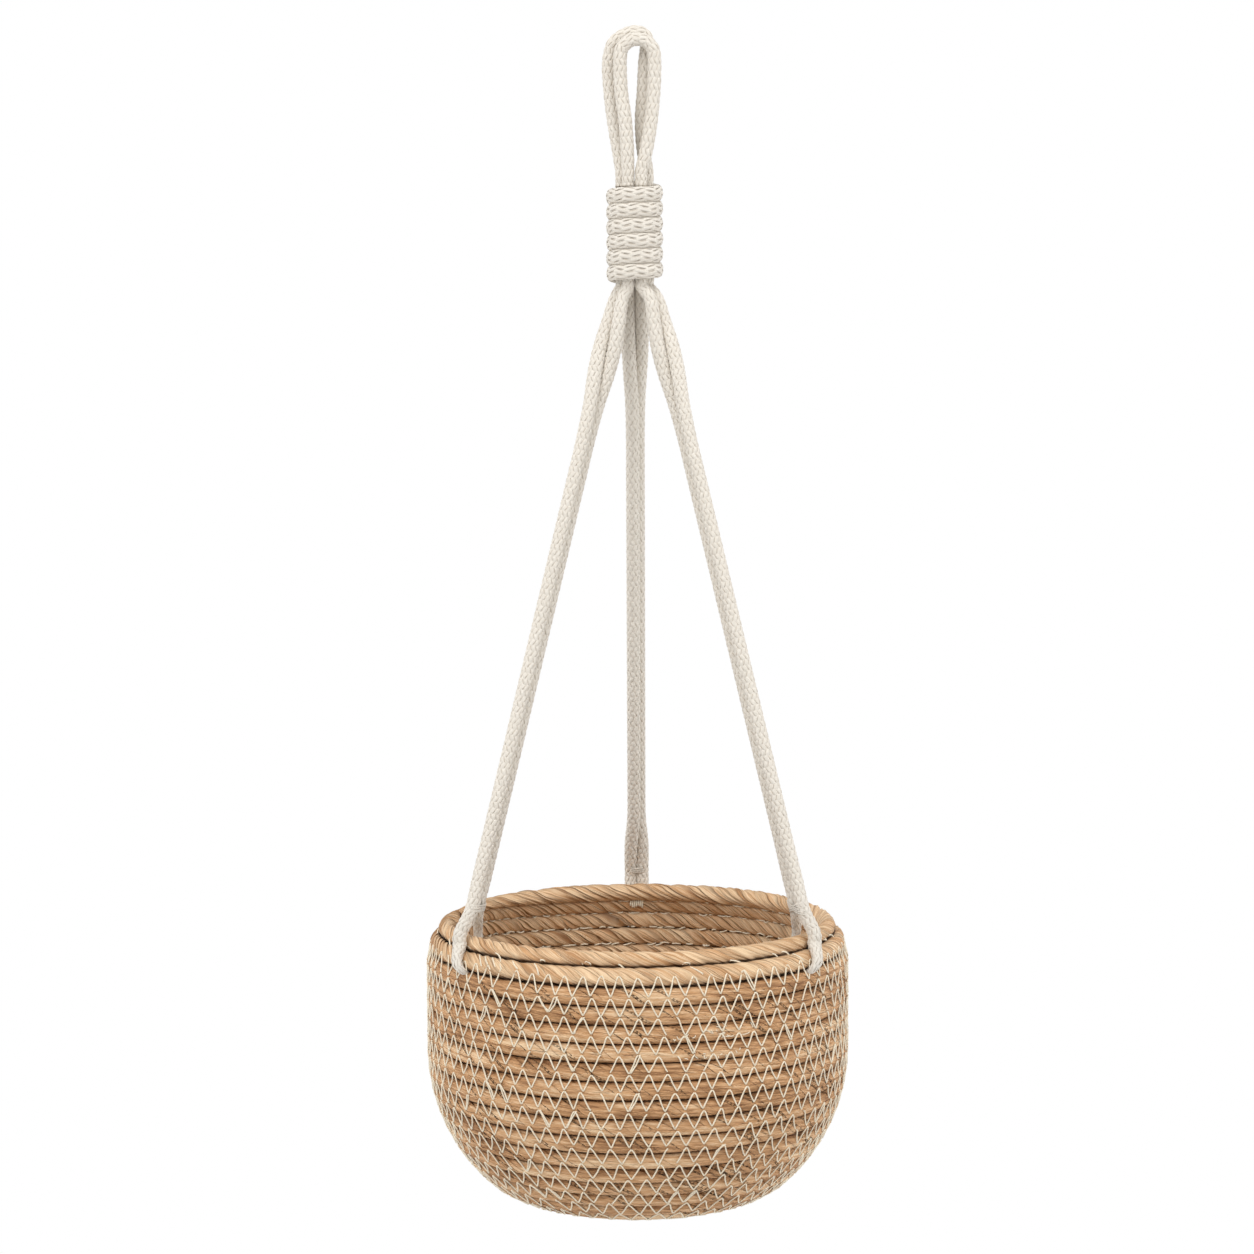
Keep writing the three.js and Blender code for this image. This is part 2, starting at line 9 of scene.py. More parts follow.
import bpy
import numpy as np
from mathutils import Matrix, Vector


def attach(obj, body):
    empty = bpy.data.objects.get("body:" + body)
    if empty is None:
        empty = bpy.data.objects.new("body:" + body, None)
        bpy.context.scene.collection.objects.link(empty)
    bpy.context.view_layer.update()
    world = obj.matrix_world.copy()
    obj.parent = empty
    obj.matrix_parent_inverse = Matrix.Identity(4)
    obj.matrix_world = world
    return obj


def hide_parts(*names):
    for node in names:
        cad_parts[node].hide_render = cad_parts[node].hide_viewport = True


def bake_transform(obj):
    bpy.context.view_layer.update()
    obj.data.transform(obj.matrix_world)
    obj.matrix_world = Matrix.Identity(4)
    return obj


bl_info = {
    "name": "Hanging planter",
    "version": (1, 0, 0),
    "blender": (4, 5, 0),
    "location": "3D View > Sidebar > Planter",
    "description": "Models a coiled hanging planter with its ropes, its stitching and a plain studio",
    "category": "Add Mesh",
}

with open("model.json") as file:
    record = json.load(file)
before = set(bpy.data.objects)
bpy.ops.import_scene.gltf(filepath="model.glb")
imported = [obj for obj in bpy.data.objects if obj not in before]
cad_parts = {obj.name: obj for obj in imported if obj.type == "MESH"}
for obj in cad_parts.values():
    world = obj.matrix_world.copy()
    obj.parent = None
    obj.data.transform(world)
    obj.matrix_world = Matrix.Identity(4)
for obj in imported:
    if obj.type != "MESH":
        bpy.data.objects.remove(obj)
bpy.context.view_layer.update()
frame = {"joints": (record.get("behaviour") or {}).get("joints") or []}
JOINTS = {joint["name"]: joint for joint in frame["joints"]}
WRAP_TOP = JOINTS["neck_twist"]["pos_m"][2]
WRAP_BOTTOM = JOINTS["basket_swing"]["pos_m"][2]

MM = 0.001
FULL_TURN = 2 * math.pi
UP = np.array([0.0, 0.0, 1.0])


def smooth(low, high, x):
    """0 before low, 1 after high and a soft step between them"""
    share = np.clip((np.asarray(x, float) - low) / (high - low), 0, 1)
    return share * share * (3 - 2 * share)


def mix(a, b, share):
    return a + (b - a) * share


def unit(vectors):
    return vectors / np.linalg.norm(vectors, axis=-1, keepdims=True)


def length_along(points):
    """How far along the line each of its points lies"""
    steps = np.linalg.norm(np.diff(points, axis=0), axis=1)
    return np.concatenate([[0], np.cumsum(steps)])


def linear(red, green, blue):
    """A display colour from 0 to 255 as the linear colour that Blender's sockets take"""
    return [((c / 255 + 0.055) / 1.055) ** 2.4 if c > 10 else c / 255 / 12.92 for c in (red, green, blue)]


# Sizes and colours that can be changed


def size(name, description, default):
    return bpy.props.FloatProperty(name=name, description=description, default=default, unit="LENGTH", min=0)


def angle(name, description, degrees):
    return bpy.props.FloatProperty(
        name=name, description=description, default=math.radians(degrees), subtype="ANGLE"
    )


def number(name, description, default):
    return bpy.props.FloatProperty(name=name, description=description, default=default, min=0)


def count(name, description, default):
    return bpy.props.IntProperty(name=name, description=description, default=default, min=1)


def colour(name, description, red, green, blue):
    return bpy.props.FloatVectorProperty(
        name=name, description=description, default=linear(red, green, blue), subtype="COLOR", min=0, max=1
    )


class PlanterBasket(bpy.types.PropertyGroup):
    """The coiled basket"""

    rim_drop: size("Rim drop", "From the hook down to the middle of the rim coil", 0.4453)
    body_radius: size("Body radius", "From the axis to the middle of the widest coils", 0.1037)
    shoulder_radius: size("Shoulder radius", "Of the bend that draws the rim in", 0.0247)
    shoulder_sweep: angle("Shoulder sweep", "How far the shoulder bends", 45.54)
    wall_height: size("Wall height", "Of the upright stretch", 0.045)
    belly_radius: size("Belly radius", "Of the slow bend below the wall", 0.0867)
    belly_sweep: angle("Belly sweep", "How far the belly bends", 47.22)
    heel_radius: size("Heel radius", "Of the bend onto the flat base", 0.0348)
    rope: size("Husk rope", "Thickness of the rope, and the step from coil to coil", 0.00918)
    climb_start: angle("Climb start", "Where each coil starts to climb to the next, from +X", 100)
    climb_end: angle("Climb end", "Where each coil has reached the next one's level", 200)
    strips: count("Husk strips", "Strips of husk laid side by side round the rope", 9)
    strip_lay: size("Strip lay", "Length in which a strip goes once round the rope", 0.048)
    relief: size("Relief", "How far a strip stands on its neighbour", 0.00065)


class PlanterRopes(bpy.types.PropertyGroup):
    """The braided cotton ropes"""

    rope: size("Cotton rope", "Thickness of the rope", 0.0072)
    bound_rope: size("Bound rope", "Thickness inside the gathering wrap", 0.0062)
    neck_rope: size("Neck rope", "Thickness where a hanger passes between two coils", 0.0034)
    inner_leg_rope: size("Inner leg rope", "Thickness of a front hanger's leg inside the rim", 0.0046)
    back_leg_rope: size("Back leg rope", "Thickness of the back hanger's legs outside the rim", 0.0058)
    fit: size("Fit", "Clearance between pieces that touch", 0.0003)
    strands: count("Strands", "Yarns in the braid, half of them turning each way", 16)
    braid_lay: size("Braid lay", "Length in which a strand of a hanger goes once round the rope", 0.046)
    loop_lay: size("Loop lay", "The same for the loop, which is pulled tighter", 0.052)
    wrap_lay: size("Wrap lay", "The same for the flattened wrap", 0.08)
    strand_width: size("Strand width", "Of one yarn of the braid", 0.0025)
    strand_thickness: size("Strand thickness", "Of one yarn of the braid", 0.0012)
    wrap_turns: count("Wrap turns", "Turns of the gathering wrap", 6)
    wrap_back_climb: number("Wrap back climb", "Share of each turn's step that is hidden at the back", 0.7)
    wrap_height: size("Wrap rope height", "Height of the flattened wrapping rope", 0.0078)
    wrap_thickness: size("Wrap rope thickness", "Of the flattened wrapping rope", 0.0046)


class PlanterThread(bpy.types.PropertyGroup):
    """The sewing thread"""

    thickness: size("Thickness", "Of the sewing thread", 0.00082)
    zigzag_step: size("Zigzag step", "Along the rope's face from one needle hole to the next", 0.00463)
    inner_step: size("Inner step", "Between the bits of thread that show in the inner grooves", 0.0062)
    outer_step: size("Outer step", "Between the bits of thread that show in the groove under the rim", 0.023)


class PlanterColours(bpy.types.PropertyGroup):
    """Colours of the finishes"""

    # The first colour is painted shade deep between two coils. The next is painted shade at strip edges, in
    # creases and towards the grooves, and also the colour of dark fibres and the darkest husk
    husk_groove_shade: colour("Husk, groove", "Deep between two coils", 56, 32, 15)
    husk_dark: colour("Husk, dark", "Strip edges and dark fibres", 104, 62, 30)
    husk_mid: colour("Husk", "Most of the husk", 208, 158, 110)
    husk_light: colour("Husk, light", "Sun-bleached fibres", 247, 216, 176)
    cotton: colour("Cotton", "The braided rope", 239, 233, 223)
    # Painted shade between the yarns, also the darker streaks of the cotton's fibres and of the thread
    cotton_shade: colour("Cotton, shaded", "Between the yarns of the braid", 188, 174, 154)
    thread: colour("Thread", "The sewing thread", 252, 240, 216)
    backdrop: colour("Backdrop", "Floor and backdrop", 236, 236, 236)


class PlanterStage(bpy.types.PropertyGroup):
    """Camera, lights and floor"""

    camera_distance: size("Camera distance", "From the camera to the planter's axis", 1.7746)
    camera_drop: size("Camera drop", "From the hook's level down to the camera", 0.1139)
    camera_aside: size("Camera aside", "How far left of the axis the camera stands", 0.0047)
    camera_tilt: angle("Camera tilt", "Below the horizon", 5.73)
    camera_roll: angle("Camera roll", "Turn of the picture", 0.24)
    lens: bpy.props.FloatProperty(
        name="Lens", description="Focal length", default=100.5, subtype="DISTANCE_CAMERA"
    )
    floor_drop: size("Floor drop", "From the hook's level down to the floor", 1.15)
    floor_radius: size("Floor radius", "Of the flat floor", 3.0)
    backdrop_radius: size("Backdrop bend", "Of the bend that joins floor and backdrop", 1.4)


SETTINGS = {
    "planter_basket": PlanterBasket,
    "planter_ropes": PlanterRopes,
    "planter_thread": PlanterThread,
    "planter_colours": PlanterColours,
    "planter_stage": PlanterStage,
}


# Meshes


class Shell:
    """Gathers tubes and turns them into one piece"""

    def __init__(self):
        self.points, self.quads, self.caps, self.lay = [], [], [], []
        self.total = 0

    def tube(self, rings, along, around, capped=True):
        """Rings of points, each ring at its along value and each of its corners at its around value"""
        count_along, sides = rings.shape[:2]
        ring, side = np.meshgrid(np.arange(count_along - 1), np.arange(sides), indexing="ij")
        after = (side + 1) % sides
        a, b = ring * sides + side, ring * sides + after
        quads = np.stack([a, b, b + sides, a + sides], axis=-1).reshape(-1, 4) + self.total
        u = np.stack([along[ring], along[ring], along[ring + 1], along[ring + 1]], axis=-1)
        v = np.stack([around[side], around[side + 1], around[side + 1], around[side]], axis=-1)
        self.lay.append(np.stack([u, v], axis=-1).reshape(-1, 2))
        self.points.append(rings.reshape(-1, 3))
        self.quads.append(quads)
        if capped:
            last = (count_along - 1) * sides
            self.caps.append([self.total + k for k in range(sides - 1, -1, -1)])
            self.caps.append([self.total + last + k for k in range(sides)])
        self.total += count_along * sides

    def piece(self, name, finish, body=None):
        """The gathered tubes as one smooth piece with a UV map of along and around"""
        quads = np.concatenate(self.quads)
        lay = np.concatenate(self.lay)
        corners = np.concatenate([quads.ravel(), *[np.array(cap) for cap in self.caps]])
        sizes = np.concatenate([np.full(len(quads), 4), [len(cap) for cap in self.caps]]).astype(int)
        mesh = bpy.data.meshes.new(name)
        points = np.concatenate(self.points)
        mesh.vertices.add(len(points))
        mesh.vertices.foreach_set("co", points.ravel())
        mesh.loops.add(len(corners))
        mesh.loops.foreach_set("vertex_index", corners.astype(np.int32))
        mesh.polygons.add(len(sizes))
        starts = np.concatenate([[0], np.cumsum(sizes)[:-1]])
        mesh.polygons.foreach_set("loop_start", starts.astype(np.int32))
        mesh.polygons.foreach_set("loop_total", sizes.astype(np.int32))
        mesh.update(calc_edges=True)
        uv = np.zeros((len(corners), 2))
        uv[: len(lay)] = lay
        mesh.uv_layers.new(name="lay").data.foreach_set("uv", uv.ravel())
        mesh.polygons.foreach_set("use_smooth", np.ones(len(sizes), bool))
        mesh.validate()
        obj = bpy.data.objects.new(name, mesh)
        bpy.context.scene.collection.objects.link(obj)
        obj.data.materials.append(finish)
        if body:
            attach(obj, body)
        return obj


SPLINE_PARTS = 16  # between two stops, before the points are spaced evenly


def spline(stops, spacing):
    """A smooth line through stops, as evenly spaced points. What a stop holds after its place runs evenly"""
    stops = np.array(stops, float)
    places = np.vstack([2 * stops[0] - stops[1], stops, 2 * stops[-1] - stops[-2]])
    fine = []
    for p0, p1, p2, p3 in zip(places, places[1:], places[2:], places[3:]):
        gaps = [max(np.linalg.norm((b - a)[:3]) ** 0.5, 1e-6) for a, b in ((p0, p1), (p1, p2), (p2, p3))]
        leave = ((p1 - p0) / gaps[0] - (p2 - p0) / (gaps[0] + gaps[1]) + (p2 - p1) / gaps[1]) * gaps[1]
        arrive = ((p2 - p1) / gaps[1] - (p3 - p1) / (gaps[1] + gaps[2]) + (p3 - p2) / gaps[2]) * gaps[1]
        t = np.arange(0, 1, 1 / SPLINE_PARTS)[:, None]
        bend = 2 * p1 - 2 * p2 + leave + arrive
        sway = -3 * p1 + 3 * p2 - 2 * leave - arrive
        span = p1 + leave * t + sway * t**2 + bend * t**3
        span[:, 3:] = mix(p1[3:], p2[3:], t)
        fine.append(span)
    fine = np.vstack([*fine, stops[-1:]])
    far = length_along(fine[:, :3])
    even = np.linspace(0, far[-1], max(2, round(far[-1] / spacing) + 1))
    return np.stack([np.interp(even, far, column) for column in fine.T], axis=1)


def carried_frames(points):
    """Across and up directions that are carried along a line with no twist of their own"""
    ahead = unit(np.gradient(points, axis=0))
    across = np.zeros_like(points)
    side = np.array([1.0, 0, 0]) if abs(ahead[0][0]) < 0.7 else np.array([0, 1.0, 0])
    for i, direction in enumerate(ahead):
        side = side - direction * side.dot(direction)
        side = side / np.linalg.norm(side)
        across[i] = side
    return across, np.cross(ahead, across)


def led_frames(points, lead):
    """Across and up directions along a line, the up direction as near to a given lead as the line allows"""
    ahead = unit(np.gradient(points, axis=0))
    up = unit(lead - ahead * (lead * ahead).sum(axis=1, keepdims=True))
    return np.cross(up, ahead), up


WEAVE_SHARE = 0.55  # how far a strand sinks where another passes over it, as a share of its half thickness
CORE_INSET = 0.8  # how far under the strands the core lies, as a share of the weave
CORE_SIDES = 12
STRAND_SIDES = 6
LAY_SPAN = 0.98  # of a strand's share of the lay map, so that it doesn't run into the next one's


def braid(shell, ropes, lay, points, half_across, half_up, frames):
    """A diamond braid along a line: every strand turns round the rope and passes over and under in turn"""
    across, up = frames
    far = length_along(points)
    squeeze = np.minimum(half_across, half_up) / (ropes.rope / 2)
    thin = ropes.strand_thickness / 2 * squeeze
    wide = ropes.strand_width / 2 * np.sqrt(half_across * half_up) / (ropes.rope / 2)
    weave = WEAVE_SHARE * thin
    each_way = ropes.strands // 2
    corners = FULL_TURN * np.arange(STRAND_SIDES) / STRAND_SIDES
    for way in (1, -1):
        for strand in range(each_way):
            theta = FULL_TURN * (way * far / lay + strand / each_way)
            over = way * np.cos(math.pi * ropes.strands * far / lay)
            inset = thin + weave * (1 - over)
            cos, sin = np.cos(theta), np.sin(theta)
            reach_across, reach_up = (half_across - inset) * cos, (half_up - inset) * sin
            centre = points + across * reach_across[:, None] + up * reach_up[:, None]
            out = unit(across * (half_up * cos)[:, None] + up * (half_across * sin)[:, None])
            ahead = unit(np.gradient(centre, axis=0))
            beside = unit(np.cross(out, ahead))
            out = np.cross(ahead, beside)
            rings = (
                centre[:, None]
                + beside[:, None] * (wide[:, None] * np.cos(corners))[..., None]
                - out[:, None] * (thin[:, None] * np.sin(corners))[..., None]
            )
            index = strand + (each_way if way < 0 else 0)
            shell.tube(rings, far, index + np.linspace(0, 1, STRAND_SIDES + 1) * LAY_SPAN)
    core = thin + CORE_INSET * weave
    corners = FULL_TURN * np.arange(CORE_SIDES) / CORE_SIDES
    keep = np.unique(np.append(np.arange(0, len(points), 2), len(points) - 1))
    rings = (
        points[:, None]
        + across[:, None] * ((half_across - core)[:, None] * np.cos(corners))[..., None]
        + up[:, None] * ((half_up - core)[:, None] * np.sin(corners))[..., None]
    )[keep]
    shell.tube(rings, far[keep], ropes.strands + np.linspace(0, 1, CORE_SIDES + 1) * LAY_SPAN)


# Finishes


def node(tree, kind, inputs=None, **settings):
    made = tree.nodes.new(kind)
    for key, value in settings.items():
        setattr(made, key, value)
    for key, value in (inputs or {}).items():
        if isinstance(value, bpy.types.NodeSocket):
            tree.links.new(value, made.inputs[key])
        else:
            made.inputs[key].default_value = value
    return made


def maths(tree, operation, *values):
    return node(tree, "ShaderNodeMath", dict(enumerate(values)), operation=operation).outputs[0]


def blend_colours(tree, share, first, second):
    mixed = node(tree, "ShaderNodeMix", {"Factor": share}, data_type="RGBA")
    for socket, value in ((mixed.inputs[6], first), (mixed.inputs[7], second)):
        if isinstance(value, bpy.types.NodeSocket):
            tree.links.new(value, socket)
        else:
            socket.default_value = (*value, 1)
    return mixed.outputs[2]


def new_group(name, inputs, outputs):
    group = bpy.data.node_groups.new(name, "ShaderNodeTree")
    for label, kind, default in inputs:
        socket = group.interface.new_socket(label, in_out="INPUT", socket_type=kind)
        if default is not None:
            socket.default_value = default
    for label, kind in outputs:
        group.interface.new_socket(label, in_out="OUTPUT", socket_type=kind)
    return group, group.nodes.new("NodeGroupInput").outputs, group.nodes.new("NodeGroupOutput").inputs


def fibre_group():
    """Streaks that run along a piece's lay: long one way and fine the other"""
    if "Fibre streaks" in bpy.data.node_groups:
        return bpy.data.node_groups["Fibre streaks"]
    group, given, result = new_group(
        "Fibre streaks",
        [
            ("Lay", "NodeSocketVector", None),
            ("Along", "NodeSocketFloat", 40.0),
            ("Across", "NodeSocketFloat", 10.0),
            ("Detail", "NodeSocketFloat", 3.0),
            ("Low", "NodeSocketFloat", 0.3),
            ("High", "NodeSocketFloat", 0.7),
        ],
        [("Streaks", "NodeSocketFloat")],
    )
    apart = node(group, "ShaderNodeSeparateXYZ", {0: given["Lay"]}).outputs
    along = maths(group, "MULTIPLY", apart[0], given["Along"])
    across = maths(group, "MULTIPLY", apart[1], given["Across"])
    look = {"Vector": combined(group, along, across), "Scale": 1.0, "Detail": given["Detail"]}
    noise = node(group, "ShaderNodeTexNoise", look).outputs[0]
    group.links.new(ranged(group, noise, given["Low"], given["High"]), result["Streaks"])
    return group


def fibres(tree, lay, along, across, detail=3.0, low=0.3, high=0.7):
    made = node(tree, "ShaderNodeGroup", node_tree=fibre_group())
    tree.links.new(lay, made.inputs["Lay"])
    settings = {"Along": along, "Across": across, "Detail": detail, "Low": low, "High": high}
    for label, value in settings.items():
        made.inputs[label].default_value = value
    return made.outputs[0]


def new_finish(name):
    finish = bpy.data.materials.new(name)
    finish.use_nodes = True
    tree = finish.node_tree
    return finish, tree, tree.nodes["Principled BSDF"]


def lay_of(tree):
    return node(tree, "ShaderNodeUVMap", uv_map="lay").outputs[0]


def bump(tree, shader, height, distance):
    made = node(tree, "ShaderNodeBump", {"Height": height, "Distance": distance, "Strength": 1.0})
    tree.links.new(made.outputs[0], shader.inputs["Normal"])


def ranged(tree, value, low, high, soft=False):
    """0 below low and 1 above high, or the other way round where low is the larger"""
    kind = "SMOOTHSTEP" if soft else "LINEAR"
    given = {"Value": value, "From Min": low, "From Max": high}
    return node(tree, "ShaderNodeMapRange", given, interpolation_type=kind).outputs[0]


def product(tree, first, second):
    return maths(tree, "MULTIPLY", first, second)


def blend_values(tree, share, first, second):
    return node(tree, "ShaderNodeMix", {0: share, 2: first, 3: second}).outputs[0]


def weighted(tree, *terms):
    """The sum of values, each times its weight"""
    total = 0.0
    for value, weight in terms:
        total = maths(tree, "MULTIPLY_ADD", value, weight, total)
    return total


def combined(tree, x, y):
    return node(tree, "ShaderNodeCombineXYZ", {0: x, 1: y}).outputs[0]


# Streaks of husk: length frequency, cross frequency, detail, low and high ends, and weight in the tone
STRIP_STREAKS = ((22.0, 2.6, 4.0, 0.3, 0.7, 0.3), (90.0, 12.0, 4.0, 0.3, 0.7, 0.35))
FACE_STREAKS = (
    (14.0, 0.6, 3.0, 0.3, 0.7, 0.35),
    (50.0, 3.0, 4.0, 0.3, 0.7, 0.3),
    (130.0, 16.0, 4.0, 0.3, 0.7, 0.4),
)
STRIP_SHADE_WEIGHT = 0.48  # each strip is a little lighter or darker than the next
STRIP_TONE_START = 0.12
TONE_RANGE = 0.3, 0.82  # of the tone, over which the colour goes from dark to light
MID_TONE = 0.45  # where the most common colour stands on the way from dark to light
OUTER_FACE = -0.1, 0.45  # from the coil's loose side to its outer face, as cosines round the rope
GROOVE_SHADE = 0.6, 0.92  # of the coil's half height, over which painted shade darkens the husk towards a groove
# of the coil's half height, over which painted shade deepens to the groove's shade colour
GROOVE_DEEP_SHADE = 0.86, 0.97
HUSK_BUMP = 0.45 * MM


def streaks(tree, lay, rows):
    """Weighted streaks, one for each row of settings"""
    return [(fibres(tree, lay, *row[:-1]), row[-1]) for row in rows]


def husk_finish(colours):
    """Dry husk: strips side by side on the loose faces, pressed lengthwise fibres where a coil is sewn, and
    painted shade in the creases and towards the grooves between coils
    """
    finish, tree, shader = new_finish("Husk rope")
    lay = lay_of(tree)
    far, strips = node(tree, "ShaderNodeSeparateXYZ", {0: lay}).outputs[:2]
    section = node(tree, "ShaderNodeAttribute", attribute_name="section").outputs["Vector"]
    outward, level, sewn = node(tree, "ShaderNodeSeparateXYZ", {0: section}).outputs[:3]
    outer = ranged(tree, outward, *OUTER_FACE, soft=True)
    pressed = product(tree, sewn, outer)

    strip, within = maths(tree, "FLOOR", strips), maths(tree, "FRACT", strips)
    shade_lay = combined(tree, product(tree, far, 14.0), product(tree, strip, 7.3))
    shade = node(tree, "ShaderNodeTexNoise", {"Vector": shade_lay, "Scale": 1.0, "Detail": 2.0}).outputs[0]
    shaded = (STRIP_TONE_START, 1.0), (shade, STRIP_SHADE_WEIGHT)
    strip_tone = weighted(tree, *shaded, *streaks(tree, lay, STRIP_STREAKS))
    # Painted shade in the creases at each strip's edges, broken up along the strip
    edge = maths(tree, "MINIMUM", within, maths(tree, "SUBTRACT", 1.0, within))
    broken = fibres(tree, lay, 26.0, 1.0, 2.0, 0.4, 0.58)
    strip_crease_shade = product(tree, ranged(tree, edge, 0.13, 0.0), broken)

    # A pressed face's fibres lean a little from the coil's run
    leaning = maths(tree, "MULTIPLY_ADD", far, 16.0, level)
    face_lay = combined(tree, far, leaning)
    face_tone = weighted(tree, *streaks(tree, face_lay, FACE_STREAKS))
    # Painted shade in a wavering crease along the middle of a pressed face
    sway = maths(tree, "MULTIPLY_ADD", fibres(tree, face_lay, 60.0, 0.2, 2.0, 0.2, 0.8), 0.24, -0.12)
    off_middle = maths(tree, "ABSOLUTE", maths(tree, "ADD", level, sway))
    broken = fibres(tree, face_lay, 110.0, 0.2, 1.0, 0.5, 0.62)
    face_crease_shade = product(tree, ranged(tree, off_middle, 0.07, 0.0), broken)

    tone = blend_values(tree, pressed, strip_tone, face_tone)
    ramp = node(tree, "ShaderNodeValToRGB", {0: ranged(tree, tone, *TONE_RANGE)})
    darkest = mix(np.array(colours.husk_dark), np.array(colours.husk_mid), 0.25)
    ramp.color_ramp.elements[0].color = (*darkest, 1)
    ramp.color_ramp.elements[1].color = (*colours.husk_light, 1)
    ramp.color_ramp.elements.new(MID_TONE).color = (*colours.husk_mid, 1)
    # Painted shade in the creases, weaker on a coil's outer face
    strip_crease_shade = product(tree, strip_crease_shade, blend_values(tree, outer, 0.85, 0.6))
    crease_shade = blend_values(tree, pressed, strip_crease_shade, product(tree, face_crease_shade, 0.7))
    dark_fibres = blend_values(
        tree,
        pressed,
        fibres(tree, lay, 30.0, 6.0, 5.0, 0.56, 0.68),
        fibres(tree, face_lay, 40.0, 7.0, 4.0, 0.60, 0.72),
    )
    # Painted shade: the husk darkens towards each groove between two coils, and the painted crease shade and
    # the real dark fibres darken it too
    depth = maths(tree, "ABSOLUTE", level)
    shallow_groove_shade = product(tree, ranged(tree, depth, *GROOVE_SHADE, soft=True), 0.25)
    shade_and_dark_fibres = maths(tree, "MAXIMUM", crease_shade, shallow_groove_shade)
    shade_and_dark_fibres = maths(tree, "MAXIMUM", shade_and_dark_fibres, product(tree, dark_fibres, 0.6))
    dry = blend_colours(tree, shade_and_dark_fibres, ramp.outputs[0], tuple(colours.husk_dark))
    # Deep in the groove, painted shade turns the husk to the groove's shade colour
    deep = product(tree, ranged(tree, depth, *GROOVE_DEEP_SHADE, soft=True), 0.85)
    base = blend_colours(tree, deep, dry, tuple(colours.husk_groove_shade))
    rough = node(tree, "ShaderNodeMapRange", {"Value": tone, "To Min": 0.75, "To Max": 0.5}).outputs[0]
    tree.links.new(base, shader.inputs["Base Color"])
    tree.links.new(rough, shader.inputs["Roughness"])
    shader.inputs["Specular IOR Level"].default_value = 0.35
    bump(tree, shader, weighted(tree, (tone, 1.0), (crease_shade, -0.7), (dark_fibres, -0.3)), HUSK_BUMP)
    return finish


YARN_CREST = 0.735  # how far round a yarn its outermost line is
YARN_CREASE_SHADE = 0.12, 0.26  # from that line, as shares of the way round, over which painted shade darkens the yarn towards its creases
COTTON_BUMP = 0.16 * MM
THREAD_BUMP = 0.1 * MM


def cotton_finish(colours):
    """Soft cotton yarn with fine fibres along each strand, and painted shade on the sides of each yarn and on
    most of the core
    """
    finish, tree, shader = new_finish("Braided cotton")
    lay = lay_of(tree)
    fine = fibres(tree, lay, 160.0, 9.0, 3.0, 0.25, 0.75)
    soft = fibres(tree, lay, 45.0, 1.3, 2.0, 0.3, 0.7)
    # Painted shade on each yarn's sides, away from its crest, where it dips between its neighbours
    around = maths(tree, "FRACT", node(tree, "ShaderNodeSeparateXYZ", {0: lay}).outputs[1])
    off_crest = maths(tree, "ABSOLUTE", maths(tree, "SUBTRACT", around, YARN_CREST))
    crease_shade = ranged(tree, off_crest, *YARN_CREASE_SHADE, soft=True)
    tone = weighted(tree, (fine, 0.2), (soft, 0.15), (crease_shade, 0.6))
    base = blend_colours(tree, tone, tuple(colours.cotton), tuple(colours.cotton_shade))
    tree.links.new(base, shader.inputs["Base Color"])
    shader.inputs["Roughness"].default_value = 0.9
    shader.inputs["Specular IOR Level"].default_value = 0.2
    shader.inputs["Sheen Weight"].default_value = 0.25
    shader.inputs["Sheen Roughness"].default_value = 0.5
    bump(tree, shader, fine, COTTON_BUMP)
    return finish


def thread_finish(colours):
    """Pale twisted sewing thread"""
    finish, tree, shader = new_finish("Sewing thread")
    lay = lay_of(tree)
    ply = fibres(tree, lay, 900.0, 3.0, 1.0, 0.35, 0.65)
    shaded = product(tree, ply, 0.35)
    base = blend_colours(tree, shaded, tuple(colours.thread), tuple(colours.cotton_shade))
    tree.links.new(base, shader.inputs["Base Color"])
    shader.inputs["Roughness"].default_value = 0.6
    shader.inputs["Specular IOR Level"].default_value = 0.3
    bump(tree, shader, ply, THREAD_BUMP)
    return finish


FINISHES = {
    "Husk rope": husk_finish,
    "Braided cotton": cotton_finish,
    "Sewing thread": thread_finish,
}


def finish_named(context, name):
    return bpy.data.materials.get(name) or FINISHES[name](context.scene.planter_colours)


# The basket's winding


